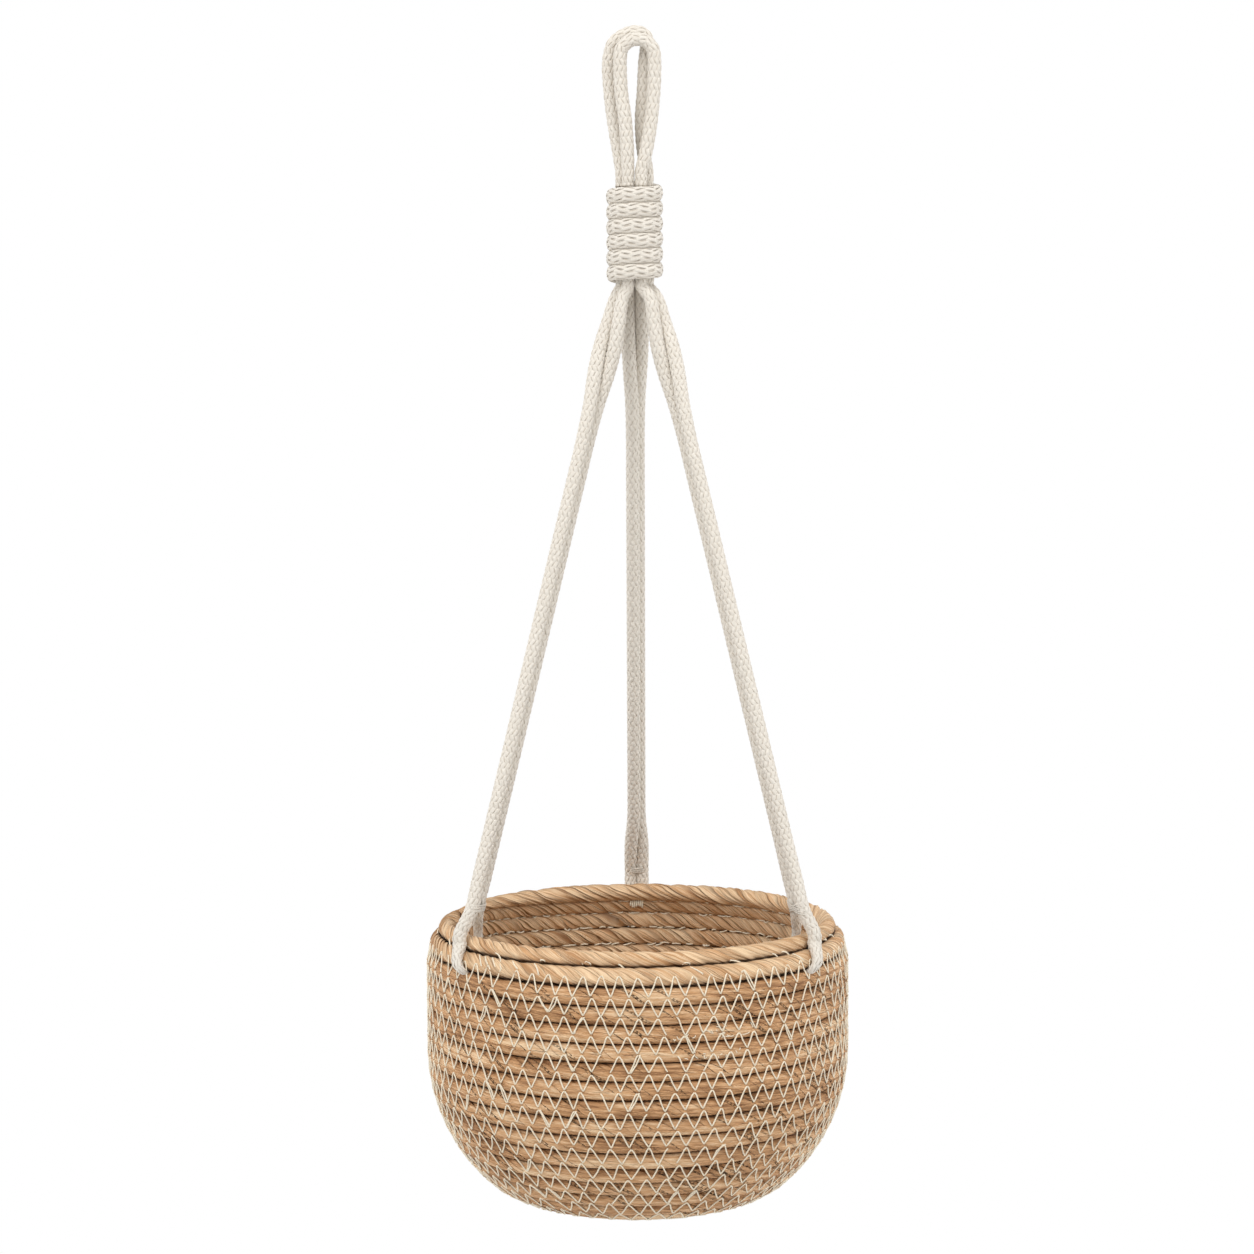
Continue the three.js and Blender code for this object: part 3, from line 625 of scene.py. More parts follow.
class Winding:
    """The husk rope's route. A place on it is told by its turns: each whole turn is one coil"""

    rim_end_share = 0.3
    rim_end_climb = 0.66  # how far up its climb the rim's end reaches
    rim_press = 0.12, 0.22  # how much lower the rim coil lies in front and at the back, as shares of the rope
    first_coil_share = 0.4
    samples_a_turn = 240

    def __init__(self, basket):
        self.basket = basket
        self.rope = basket.rope
        shoulder, belly = basket.shoulder_sweep, basket.belly_sweep
        heel = math.pi / 2 - belly
        reach = basket.belly_radius * (1 - math.cos(belly)) + basket.heel_radius * math.cos(belly)
        self.rim_radius = basket.body_radius - basket.shoulder_radius * (1 - math.cos(shoulder))
        self.stretches = [
            (basket.shoulder_radius * shoulder, -shoulder),
            (basket.wall_height, 0),
            (basket.belly_radius * belly, -belly),
            (basket.heel_radius * heel, -heel),
            (basket.body_radius - reach, 0),
        ]
        self.wall_length = sum(length for length, _ in self.stretches)
        self.coils = self.wall_length / self.rope
        self.rim_turn = math.ceil(self.coils)
        self.offset = self.coils - self.rim_turn
        self.climb = [a / FULL_TURN for a in (basket.climb_start, basket.climb_end)]
        self.first = self.first_coil_share - self.offset
        self.last = self.rim_turn + self.climb[0]
        self.end = self.rim_turn + mix(*self.climb, self.rim_end_climb)
        samples = round((self.end - self.first) * self.samples_a_turn)
        turns = np.linspace(self.first, self.end, samples)
        self.turns, self.far = turns, length_along(self.place(turns)[0])
        self.mm_turn = MM / (FULL_TURN * self.rim_radius)  # turns in one millimetre of the upper coils

    def wall(self, length):
        """Radius, height and heading of the wall at a length from the rim"""
        left = np.asarray(length, float)
        radius, height, heading = self.rim_radius, -self.basket.rim_drop, self.basket.shoulder_sweep
        for index, (stretch, turn) in enumerate(self.stretches):
            low = 0 if index else -np.inf
            high = stretch if index + 1 < len(self.stretches) else np.inf
            run = np.clip(left, low, high)
            bend = turn * run / stretch
            chord = run * np.sinc(bend / FULL_TURN)
            radius = radius + chord * np.sin(heading + bend / 2)
            height = height - chord * np.cos(heading + bend / 2)
            heading = heading + bend
            left = left - run
        return radius, height, heading

    def wall_place(self, turns):
        """Length from the rim and height share of the rope's section, at a number of turns"""
        whole = np.floor(turns)
        climbed = whole + smooth(*self.climb, turns - whole)
        level = np.clip((turns + self.offset) / self.coils, 0, 1)
        length = self.wall_length - (self.offset + mix(turns, climbed, level)) * self.rope
        pressed = mix(*self.rim_press, (1 + np.sin(FULL_TURN * turns)) / 2)
        kept = 1 - pressed * smooth(*self.climb, turns - self.rim_turn + 1)
        length = np.maximum(length, 0) + (1 - kept) * self.rope / 2
        room = self.room(turns)
        ending = turns > self.last
        lying = (2 * room - 1 - room * kept) * self.rope / 2
        return np.where(ending, lying, length), kept * np.where(ending, room, 1)

    def room(self, turns):
        """The share of a coil's height that is left for the rim's end over the coil that climbs beneath it"""
        return 1 - smooth(*self.climb, turns - self.rim_turn)

    def place(self, turns):
        """Centre of the rope, its outward and upward directions, and its height share"""
        length, share = self.wall_place(turns)
        radius, height, heading = self.wall(length)
        azimuth = FULL_TURN * turns
        ahead = np.stack([np.cos(azimuth), np.sin(azimuth), np.zeros_like(azimuth)], axis=-1)
        centre = ahead * radius[..., None] + UP * height[..., None]
        cos, sin = np.cos(heading)[..., None], np.sin(heading)[..., None]
        return centre, ahead * cos + UP * sin, UP * cos - ahead * sin, share

    def at(self, far):
        """Turns at a length along the rope from the middle of the base"""
        return np.interp(far, self.far, self.turns)

    def stitches_in_row(self, row, step):
        """How many stitches go round a row: an odd number, so that the tips of two rows meet"""
        radius, _, heading = self.wall(self.wall_place(row + BACK_SHARE)[0])
        girth = FULL_TURN * (radius + self.rope / 2 * np.cos(heading))
        return 2 * np.floor(girth / step / 2) + 1

    def pinch(self, turns, step):
        """1 where the tips of a coil's zigzags pinch it and 0 between them"""
        row = np.floor(turns - self.climb[0])
        phase = (turns - row - FRONT_SHARE) * self.stitches_in_row(row, step)
        return np.maximum(np.cos(math.pi * (phase + row)), 0) ** PINCH_SHARPNESS

    def face(self, turns, up_share, lift, side=1):
        """A place on the rope's outer or inner face, and the direction straight out of it"""
        centre, out, up, share = self.place(turns)
        bulge = (1 - np.minimum(np.abs(up_share), 1) ** SQUARENESS) ** (1 / SQUARENESS)
        reach = side * ((self.rope / 2 - FACE_DIP) * bulge + lift)
        half = self.rope / 2 * share * up_share
        return centre + out * np.asarray(reach)[..., None] + up * np.asarray(half)[..., None], out * side


SQUARENESS = 2.5  # of the pressed rope's section: 2 is round, and more is squarer
FACE_DIP = 0.35 * MM  # how much flatter the rope is pressed than it is high
FRONT_SHARE = 0.75  # of a turn, at which the winding faces the front
BACK_SHARE = 0.25  # and the back
STRIP_COLUMNS = ((0.0, 0.5), (0.14, 0.42), (0.5, 0.05), (0.93, -0.5))  # place in a strip, share of its relief
LOOSE_LIFT = 0.5 * MM  # how far above the rope's mean surface a thread lies on loose strips
PINCH_DEPTH = 0.9 * MM  # how deep the zigzag's tips press into a coil
PINCH_SHARPNESS = 6  # and how narrow the dent is
PINCH_HEIGHT = 0.5  # of the coil's half height, at which the dent has faded out
PRESSED_FLAT = 0.94  # of a strip's relief that is gone where the coil is sewn
BARE_TOP = 0.6  # of the painted groove shade that is gone on top of the rim coil
ROPE_LIMIT = 13  # in metres, more than the husk rope's length
# How a strip's place, its relief and the rope's thickness wander: step along the rope, middle and spread
STRIP_SWAY = 0.02, 0, 0.4
STRIP_STAND = 0.013, 1, 0.55
ROPE_LUMPS = 0.012, 0, 0.025
LUMPS_PRESSED = 0.5  # of the lumps that is gone where the coil is sewn
COIL_SEED, STITCH_SEED, TACK_SEED = 7, 11, 5
FRAYED_ENDS = 26  # bits of fibre that stand out of one worn patch
SEWN_EDGE = -0.8, -0.7  # of the rim coil's turns, where the zigzag's last coil goes over into the loose ones


def wander(source, far, step, middle, spread):
    """A value that wanders along the rope, drawn anew at each step"""
    places = np.arange(0, ROPE_LIMIT, step)
    return np.interp(far, places, middle + source.normal(0, spread, len(places)))


def wound_coils(context, winding, name, start, stop, spacing):
    """A stretch of the husk rope, with its strips laid round it like shingles"""
    basket, thread = winding.basket, context.scene.planter_thread
    far = np.linspace(start, stop, round((stop - start) / spacing) + 1)
    turns = winding.at(far)
    centre, out, up, share = winding.place(turns)
    sewn = 1 - smooth(*SEWN_EDGE, turns - winding.rim_turn + 1)
    source = np.random.default_rng(COIL_SEED)
    columns, reliefs, lays = [], [], []
    for strip in range(basket.strips):
        sway = wander(source, far, *STRIP_SWAY)
        stand = wander(source, far, *STRIP_STAND)
        for within, height in STRIP_COLUMNS:
            columns.append((strip + within + sway * (1 - within)) / basket.strips)
            reliefs.append(height * basket.relief * stand)
            lays.append(strip + within)
    # The strips turn so that they fall to the right, seen from outside or inside
    angles = -FULL_TURN * (np.stack(columns, axis=1) + (far / basket.strip_lay)[:, None])
    cos, sin = np.cos(angles), np.sin(angles)
    pressed = sewn[:, None] * smooth(*OUTER_FACE, cos)
    lifted = np.stack(reliefs, axis=1) * (1 - PRESSED_FLAT * pressed)
    pinch = winding.pinch(turns, thread.zigzag_step)[:, None]
    pinched = PINCH_DEPTH * pinch * pressed * smooth(PINCH_HEIGHT, 0, np.abs(sin))
    lump = 1 + wander(source, far, *ROPE_LUMPS)[:, None] * (1 - LUMPS_PRESSED * sewn[:, None])
    ending = mix(winding.room(turns), 1, winding.rim_end_share)[:, None]
    half_out = (winding.rope / 2 - FACE_DIP) * ending * lump
    half_up = winding.rope / 2 * share[:, None]
    x = half_out * np.sign(cos) * np.abs(cos) ** (2 / SQUARENESS)
    y = half_up * np.sign(sin) * np.abs(sin) ** (2 / SQUARENESS)
    grow = 1 + (lifted - pinched) / np.hypot(x, y)
    rings = centre[:, None] + out[:, None] * (x * grow)[..., None] + up[:, None] * (y * grow)[..., None]
    shell = Shell()
    shell.tube(rings, far, np.array([*lays, basket.strips]))
    finish = finish_named(context, "Husk rope")
    coils = shell.piece(name, finish, "basket")
    # Nothing lies on the rim coil, so its top isn't a groove and gets less painted groove shade
    bare_top = smooth(*winding.climb, turns - winding.rim_turn + 1)[:, None]
    level = np.where(sin > 0, sin * (1 - BARE_TOP * bare_top), sin)
    section = np.stack([cos, level, np.broadcast_to(sewn[:, None], cos.shape)], axis=-1)
    coils.data.attributes.new("section", "FLOAT_VECTOR", "POINT").data.foreach_set("vector", section.ravel())
    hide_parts("basket_coil")
    return coils


THREAD_SIDES = 5
STEADY_SHARE = 0.2  # weight of a thread's steady sideways direction, which alone counts at its ends
THREAD_RISE = 0.35  # of a thread's radius that its middle lies above the husk
END_DEPTH = 2.2  # how deep a stitch's ends dive in, in radii of its thread
STITCH_SHARES = np.array([0.0, 0.0, 0.14, 0.5, 0.86, 1.0, 1.0])  # the points of a stitch
LEAVING = np.array([0.0, 0.6, 0.85, 0.0, 0.0, 0.0, 0.0])  # how its first arch is spread over them


def thread_tubes(shell, centres, outs, radius):
    """Many short threads at once: centres and outward directions have a row for each thread"""
    ahead = unit(np.gradient(centres, axis=1))
    run = unit(centres[:, -2] - centres[:, 1])
    steady = unit(np.cross(outs.mean(axis=1), run))[:, None]
    beside = np.cross(outs, ahead) + STEADY_SHARE * steady
    beside = unit(beside - ahead * (beside * ahead).sum(axis=-1, keepdims=True))
    over = np.cross(ahead, beside)
    corners = FULL_TURN * np.arange(THREAD_SIDES) / THREAD_SIDES
    rings = (
        centres[:, :, None]
        + beside[:, :, None] * (radius * np.cos(corners))[:, None]
        - over[:, :, None] * (radius * np.sin(corners))[:, None]
    )
    for thread in rings:
        shell.tube(thread, length_along(thread.mean(axis=1)), np.linspace(0, 1, THREAD_SIDES + 1))


def sew(
    shell, winding, source, starts, ends, radius, side=1, arches=(0.0, 0.0), slack=0.0, sag=0.0, lift=0.0
):
    """Stitches from one place on the coils to another, each place given by its turns and its share of the
    coil's half height. A stitch leaves its holes level by its arches, swings out by slack and sinks by sag"""
    lift = lift + THREAD_RISE * radius
    (first, out_first), (last, out_last) = (winding.face(*place, lift, side) for place in (starts, ends))
    share = STITCH_SHARES
    line = mix(first[:, None], last[:, None], share[:, None])
    out = unit(mix(out_first[:, None], out_last[:, None], share[:, None]))
    chord = last - first
    azimuth = FULL_TURN * np.asarray(starts[0])
    level = np.stack([-np.sin(azimuth), np.cos(azimuth), np.zeros_like(azimuth)], axis=1)
    level = level * np.where((level * chord).sum(axis=1) < 0, -1.0, 1.0)[:, None]
    leave, arrive = (np.broadcast_to(arch, len(chord))[:, None] for arch in arches)
    shift = leave * LEAVING - arrive * LEAVING[::-1]
    bow = np.sin(math.pi * share) * source.normal(0, 1, (len(chord), 1)) * slack
    beside = np.cross(out, unit(chord)[:, None])
    line = line + level[:, None] * shift[..., None] + beside * bow[..., None]
    line = line - out * (sag * np.sin(math.pi * share))[:, None]
    line[:, 0] -= out_first * END_DEPTH * radius
    line[:, -1] -= out_last * END_DEPTH * radius
    thread_tubes(shell, line, out, radius)


# Operators


SENSOR_WIDTH = 36  # in millimetres
FLOOR_SIDES = 96
BACKDROP_STEPS = 12
GLOW_RANGE = -0.6, 1.0  # metres from the floor's middle, over which the floor turns pure white
WORLD_LIGHT = 0.55
# The lights: name, place, what each is aimed at, width and power
LIGHTS = (
    ("key", (-1.5, -2.0, 1.3), (0, 0, -0.4), 1.5, 27),
    ("fill", (2.0, -1.6, 0.5), (0, 0, -0.4), 1.8, 13),
    ("top", (0.1, -0.8, 1.6), (0, 0, -0.45), 1.3, 14),
    ("left side", (-1.9, 0.1, -0.2), (0, 0, -0.45), 1.4, 7),
    ("right side", (1.9, 0.1, -0.2), (0, 0, -0.45), 1.4, 8),
)


class PLANTER_OT_stage(bpy.types.Operator):
    """Add the camera, the soft lights and a plain pale floor that curves up into a backdrop"""

    bl_idname = "planter.stage"
    bl_label = "Stage"

    def execute(self, context):
        stage = context.scene.planter_stage
        self.add_camera(context, stage)
        self.add_floor(context, stage)
        self.add_lights(context)
        context.scene.view_settings.view_transform = "Standard"
        return {"FINISHED"}

    def add_camera(self, context, stage):
        place = (-stage.camera_aside, -stage.camera_distance, -stage.camera_drop)
        bpy.ops.object.camera_add(location=place, rotation=(math.pi / 2 - stage.camera_tilt, 0, 0))
        camera = context.object
        camera.rotation_euler.rotate_axis("Z", -stage.camera_roll)
        camera.data.lens = stage.lens
        camera.data.sensor_width = SENSOR_WIDTH
        camera.data.clip_start = 0.1
        camera.data.clip_end = 50
        context.scene.camera = camera

    def add_floor(self, context, stage):
        place = (0, 0, -stage.floor_drop)
        bpy.ops.mesh.primitive_circle_add(
            vertices=FLOOR_SIDES, radius=stage.floor_radius, fill_type="NGON", location=place
        )
        floor = context.object
        floor.name = "floor"
        bpy.ops.object.mode_set(mode="EDIT")
        bpy.ops.mesh.select_mode(type="EDGE")
        bpy.ops.mesh.select_all(action="SELECT")
        bpy.ops.mesh.region_to_loop()
        reach = stage.floor_radius
        for step in range(BACKDROP_STEPS):
            before, after = (math.pi / 2 * k / BACKDROP_STEPS for k in (step, step + 1))
            wider = reach + stage.backdrop_radius * (math.sin(after) - math.sin(before))
            rise = stage.backdrop_radius * (math.cos(before) - math.cos(after))
            bpy.ops.mesh.extrude_region_move(TRANSFORM_OT_translate={"value": (0, 0, rise)})
            bpy.ops.transform.resize(value=(wider / reach, wider / reach, 1))
            reach = wider
        rise = 2 * stage.backdrop_radius
        bpy.ops.mesh.extrude_region_move(TRANSFORM_OT_translate={"value": (0, 0, rise)})
        bpy.ops.object.mode_set(mode="OBJECT")
        bpy.ops.object.shade_smooth()
        floor.data.materials.append(self.floor_finish(context.scene.planter_colours))

    def floor_finish(self, colours):
        """A pale floor that the camera sees as pure white away from the planter"""
        finish, tree, shader = new_finish("Pale backdrop")
        shader.inputs["Base Color"].default_value = (*colours.backdrop, 1)
        shader.inputs["Roughness"].default_value = 0.9
        shader.inputs["Specular IOR Level"].default_value = 0.1
        path = node(tree, "ShaderNodeLightPath").outputs
        seen = maths(tree, "MAXIMUM", path["Is Glossy Ray"], path["Is Transmission Ray"])
        seen = maths(tree, "MAXIMUM", path["Is Camera Ray"], seen)
        glow = node(tree, "ShaderNodeEmission", {"Color": (1, 1, 1, 1), "Strength": 1.0}).outputs[0]
        here = node(tree, "ShaderNodeTexCoord").outputs["Object"]
        away = node(tree, "ShaderNodeVectorMath", {0: here}, operation="LENGTH").outputs["Value"]
        white = product(tree, seen, ranged(tree, away, *GLOW_RANGE, soft=True))
        shown = node(tree, "ShaderNodeMixShader", {0: white, 1: shader.outputs[0], 2: glow})
        tree.links.new(shown.outputs[0], tree.nodes["Material Output"].inputs["Surface"])
        return finish

    def add_lights(self, context):
        world = bpy.data.worlds.new("Soft studio")
        world.use_nodes = True
        background = world.node_tree.nodes["Background"].inputs
        background["Color"].default_value = (1, 1, 1, 1)
        background["Strength"].default_value = WORLD_LIGHT
        context.scene.world = world
        for name, place, aim, breadth, power in LIGHTS:
            bpy.ops.object.light_add(type="AREA", location=place)
            lamp = context.object
            lamp.name = name
            lamp.rotation_euler = (Vector(aim) - Vector(place)).to_track_quat("-Z", "Y").to_euler()
            lamp.data.shape = "DISK"
            lamp.data.size = breadth
            lamp.data.energy = power


# The husk rope's pieces from the top down: how many coils under the rim each starts, and how far apart its
# rings are in millimetres
HUSK_PIECES = (("husk_rim_coils", 2.2, 0.9), ("husk_wall_coils", 9, 1.7), ("husk_base_coils", None, 2.1))


class PLANTER_OT_basket(bpy.types.Operator):
    """Wind the basket from its husk rope"""

    bl_idname = "planter.basket"
    bl_label = "Basket"

    def execute(self, context):
        winding = Winding(context.scene.planter_basket)
        stop = winding.far[-1]
        for name, coils, spacing in HUSK_PIECES:
            start = np.interp(winding.rim_turn - coils, winding.turns, winding.far) if coils else 0
            wound_coils(context, winding, name, start, stop, spacing * MM)
            stop = start
        return {"FINISHED"}


WILDEST = 2.0  # how much less evenly the lowest rows are sewn
WILD_ROWS = 4, 12  # the rows over which that fades out
DRIFT_STITCHES = 9  # after which a row's drift changes its way
DRIFT = 0.09  # of a stitch
TIP_SPREAD = 0.06  # of a stitch, and of the coil's half height
UPPER_TIP, LOWER_TIP = -0.17, 0.15  # where the tips lie on a coil, as shares of its half height
UPPER_ARCH, LOWER_ARCH = 0.6 * MM, 0.22 * MM  # how far a stitch runs level at its tips
MISSED, DOUBLED = 0.03, 0.05  # shares of the stitches
LYING_SHARE = 0.6  # of the groove threads that lie in the groove, while the others go over it
STRAY_PLACES = 0.612, 0.619, 0.627, 0.636, 0.648, 0.668, 0.79, 0.885  # round the second coil, in turns
FRAYED_PLACE = 0.805 - 5  # from the rim coil's start, in turns


class PLANTER_OT_stitching(bpy.types.Operator):
    """Sew the coils together with a zigzag outside and short bits of thread inside"""

    bl_idname = "planter.stitching"
    bl_label = "Stitching"

    def execute(self, context):
        winding = Winding(context.scene.planter_basket)
        thread = context.scene.planter_thread
        source = np.random.default_rng(STITCH_SEED)
        for name, make in (("zigzag_thread", self.zigzag), ("groove_thread", self.grooves)):
            shell = Shell()
            make(shell, winding, thread, source)
            piece = shell.piece(name, finish_named(context, "Sewing thread"), "basket")
        return {"FINISHED"}

    def zigzag(self, shell, winding, thread, source):
        """A row over each groove from the second coil down, whose tips meet in the coils' middles"""
        radius = thread.thickness / 2
        seam = winding.climb[0]
        for row in range(winding.rim_turn - 2, 1, -1):
            stitches = int(winding.stitches_in_row(row, thread.zigzag_step))
            low, high = (round((share - FRONT_SHARE) * stitches) for share in (seam, 1 + seam))
            steps = np.arange(low, high + 1)
            wild = mix(WILDEST, 1.0, smooth(*WILD_ROWS, row))
            bends = np.arange(low, high + DRIFT_STITCHES, DRIFT_STITCHES)
            drift = np.interp(steps, bends, source.normal(0, DRIFT * wild, len(bends)))
            drift = drift + source.normal(0, TIP_SPREAD * wild, len(steps))
            turns = row + FRONT_SHARE + (steps + drift) / stitches
            upper = (steps + row) % 2 == 0
            tips = np.where(upper, turns, turns - 1)
            shares = np.where(upper, UPPER_TIP, LOWER_TIP)
            shares = shares + source.normal(0, TIP_SPREAD * wild, len(steps))
            arches = np.where(upper, UPPER_ARCH, LOWER_ARCH)
            kept = source.random(len(steps) - 1) > MISSED
            starts = tips[:-1][kept], shares[:-1][kept]
            ends = tips[1:][kept], shares[1:][kept]
            bent = arches[:-1][kept], arches[1:][kept]
            slack = 0.1 * wild * MM
            sew(shell, winding, source, starts, ends, radius, arches=bent, slack=slack, sag=0.25 * MM)
            twice = source.random(len(starts[0])) < DOUBLED
            beside = 0.8 * winding.mm_turn
            again = [(turns[twice] + beside, share[twice] + 0.05) for turns, share in (starts, ends)]
            sew(shell, winding, source, *again, radius, slack=0.6 * MM)

    def grooves(self, shell, winding, thread, source):
        """Bits of thread that show in the grooves, stray ones over the second coil and a frayed patch"""
        radius, mm_turn = thread.thickness / 2, winding.mm_turn
        inner = -1, winding.first + 1.5, thread.inner_step
        outer = 1, winding.rim_turn - 0.7, thread.outer_step
        for side, low, step in (inner, outer):
            first, last = np.interp([low, winding.rim_turn + winding.climb[0]], winding.turns, winding.far)
            middle = np.arange(first + step, last - step, step)
            middle = middle + source.normal(0, 0.3, len(middle)) * step
            half = source.uniform(0.9, 2.6, len(middle)) * MM
            before, after = winding.at(middle - half), winding.at(middle + half)
            lying = source.random(len(middle)) < LYING_SHARE
            share = source.uniform(-0.92, -0.8, len(middle))
            flat = [(turns[lying], share[lying]) for turns in (before, after)]
            lift = LOOSE_LIFT if side < 0 else 0
            sew(shell, winding, source, *flat, radius, side=side, slack=0.4 * MM, sag=-0.5 * MM, lift=lift)
            over = [(before[~lying], share[~lying]), (after[~lying] - 1, -share[~lying] + 0.05)]
            sew(shell, winding, source, *over, radius, side=side, slack=0.3 * MM, sag=-0.3 * MM, lift=lift)
        stray = winding.rim_turn - 2 + np.array(STRAY_PLACES)
        slant = source.uniform(3, 5, len(stray)) * mm_turn
        top, bottom = np.full(len(stray), 0.85), source.uniform(-0.3, 0.1, len(stray))
        ends = (stray, top), (stray + slant, bottom)
        sew(shell, winding, source, *ends, radius, slack=0.4 * MM, sag=-0.6 * MM)
        frayed = winding.rim_turn + FRAYED_PLACE + source.normal(0, 9 * mm_turn, FRAYED_ENDS)
        frayed = frayed - source.integers(0, 2, FRAYED_ENDS)
        reach = source.normal(0, 1.6 * mm_turn, FRAYED_ENDS)
        share = source.uniform(-0.7, 0.7, FRAYED_ENDS)
        ends = (frayed, share), (frayed + reach, share + source.normal(0, 0.3, FRAYED_ENDS))
        sew(shell, winding, source, *ends, 0.6 * radius, slack=0.5 * MM, sag=-0.4 * MM)


class PLANTER_OT_hangers(bpy.types.Operator):
    """Hang the basket from three doubled ropes"""

    bl_idname = "planter.hangers"
    bl_label = "Hangers"

    def execute(self, context):
        ropes = context.scene.planter_ropes
        winding = Winding(context.scene.planter_basket)
        finish = finish_named(context, "Braided cotton")
        for hanger in hangers(ropes, winding):
            line = spline([*hanger["down"], *hanger["eye"], *hanger["up"]], 0.9 * MM)
            points, half_across, half_up = line[:, :3], line[:, 3], line[:, 4]
            shell = Shell()
            frames = led_frames(points, line[:, 5:])
            braid(shell, ropes, ropes.braid_lay, points, half_across, half_up, frames)
            piece = shell.piece("hanger_" + hanger["name"], finish)
            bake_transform(piece)
            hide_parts("hanger_rope_" + hanger["name"], *hanger["bound"])
        return {"FINISHED"}


def beside_rim(azimuth, radius, sideways, z):
    """A place by its distance from the axis, its distance sideways and its height"""
    a = math.radians(azimuth)
    return [
        radius * math.cos(a) - sideways * math.sin(a),
        radius * math.sin(a) + sideways * math.cos(a),
        z,
    ]


def bound_place(ropes, degrees):
    """Where a rope run stands inside the wrap"""
    return beside_rim(degrees, ropes.bound_rope + ropes.fit, 0, 0)[:2]


RUN_SHARES = (0, 0.02, 0.06, 0.1, 0.14, 0.19, 0.25, 0.31, 0.45, 0.6, 0.75, 0.84, 0.9, 0.95, 1)
TWIST_LENGTH = 72 * MM  # under the wrap, in which a hanger's two runs turn round each other
FLARE_START = 6 * MM  # below the wrap, where the runs have swollen outwards most
INNER_LEG_TURN = 6.5  # degrees that a front hanger's inner leg stands further back round the rim
NECK_TURN = 3.6  # and the neck between the two legs further forward
BOUND_SWELL = 1.06  # the soft rope fills the gaps inside the wrap
RUN_SWELL = 1.06  # and a hanger's two runs press on each other


def run_lay(ropes, hanger, fallen, drop):
    """The direction from one run of a hanger to the other, in degrees"""
    lay = mix(hanger["turn_from"], hanger["turn_to"], smooth(0, TWIST_LENGTH, fallen))
    return mix(lay, hanger["eye_lay"], smooth(drop - TWIST_LENGTH / 2, drop, fallen))


def hanger_run(ropes, winding, hanger, side):
    """One run of a doubled hanger, from inside the wrap down to where the two part"""
    spacing_top = ropes.bound_rope + ropes.fit
    bound = ropes.bound_rope * BOUND_SWELL
    top_x, top_y = beside_rim(hanger["top_azimuth"], spacing_top * math.cos(math.pi / 6), 0, 0)[:2]
    flare_x, flare_y = beside_rim(hanger["top_azimuth"], hanger["flare"], 0, 0)[:2]
    eye_z = -winding.basket.rim_drop + hanger["eye_height"]
    eye_x, eye_y = beside_rim(hanger["azimuth"], winding.rim_radius + hanger["eye_out"], 0, 0)[:2]
    top = WRAP_BOTTOM - ropes.fit / 2
    leave = top - ropes.bound_rope / 2
    drop = leave - eye_z
    stops = []
    for share in RUN_SHARES:
        fallen = share * drop
        lay = math.radians(run_lay(ropes, hanger, fallen, drop))
        spacing = mix(spacing_top, ropes.rope + ropes.fit, smooth(0, TWIST_LENGTH / 2, fallen))
        half = side * mix(spacing, hanger["eye_spacing"], smooth(drop - TWIST_LENGTH / 2, drop, fallen)) / 2
        swell = smooth(0, FLARE_START, fallen) * (1 - share)
        thick = mix(bound, ropes.rope, smooth(0, TWIST_LENGTH / 3, fallen))
        arriving = smooth(drop - TWIST_LENGTH / 3, drop, fallen)
        thick = mix(thick, hanger["eye_rope"], arriving)
        broad = thick * mix(RUN_SWELL, hanger["eye_swell"], arriving)  # towards the other run
        stops.append(
            [
                mix(top_x, eye_x, share) + flare_x * swell + half * math.cos(lay),
                mix(top_y, eye_y, share) + flare_y * swell + half * math.sin(lay),
                mix(leave, eye_z, share),
                thick / 2,
                broad / 2,
                side * math.cos(lay),
                side * math.sin(lay),
                0,
            ]
        )
    x, y = stops[0][:2]
    inside = (WRAP_TOP - ropes.fit, mix(WRAP_TOP, WRAP_BOTTOM, 0.5), top)
    return [*([x, y, z, *stops[0][3:]] for z in inside), *stops]


def threaded_eye(ropes, winding, hanger):
    """Down outside the two top coils, through the groove under them, and up inside them again"""
    rope, inner, neck = ropes.rope, ropes.inner_leg_rope, ropes.neck_rope
    (rim_r, rim_z), (second_r, second_z), (third_r, third_z) = top_coils(winding)
    reach = winding.rope / 2 + ropes.fit
    gap_z, gap_r = (second_z + third_z) / 2, (second_r + third_r) / 2
    pressed, inner_pressed = (rope + neck) / 2, (inner + neck) / 2
    wide, inner_wide = 1.12 * rope, 0.86 * rope  # a leg that is pressed against the coils spreads sideways
    outer_at = hanger["azimuth"]
    neck_at, inner_at = outer_at + hanger["neck_turn"], outer_at + hanger["inner_turn"]

    def place(radius, z, thick, broad, turn, azimuth):
        out = beside_rim(azimuth, math.cos(turn), 0, -math.sin(turn))
        return [*beside_rim(azimuth, radius, 0, z), broad / 2, thick / 2, *out]

    under = mix(outer_at, neck_at, 2 / 3)
    through, past, up = (mix(neck_at, inner_at, share) for share in (1 / 5, 2 / 5, 2 / 3))
    inside = second_r - reach - inner_pressed / 2
    return [
        place(rim_r + reach + rope / 2, rim_z + reach, rope, rope, 0, outer_at),
        place(rim_r + reach + rope / 2, rim_z, rope, wide, 0, outer_at),
        place(second_r + reach + pressed / 2, second_z, pressed, wide, math.pi / 8, under),
        place(second_r + reach + neck / 4, gap_z, neck, rope, math.pi / 3, neck_at),
        place(gap_r, gap_z, neck, neck, math.pi / 2, through),
        place(gap_r - reach, gap_z, neck, neck, math.pi * 0.6, past),
        place(inside, second_z - reach / 2, inner_pressed, neck, math.pi * 0.85, up),
        place(rim_r - reach - inner / 2, rim_z - reach / 2, inner, inner_wide, math.pi, inner_at),
        place(rim_r - reach - inner / 2, rim_z + reach, inner, inner_wide, math.pi, inner_at),
    ]


def top_coils(winding):
    """Radius and height of the three top coils' middles"""
    return [[float(value) for value in winding.wall(k * winding.rope)[:2]] for k in range(3)]


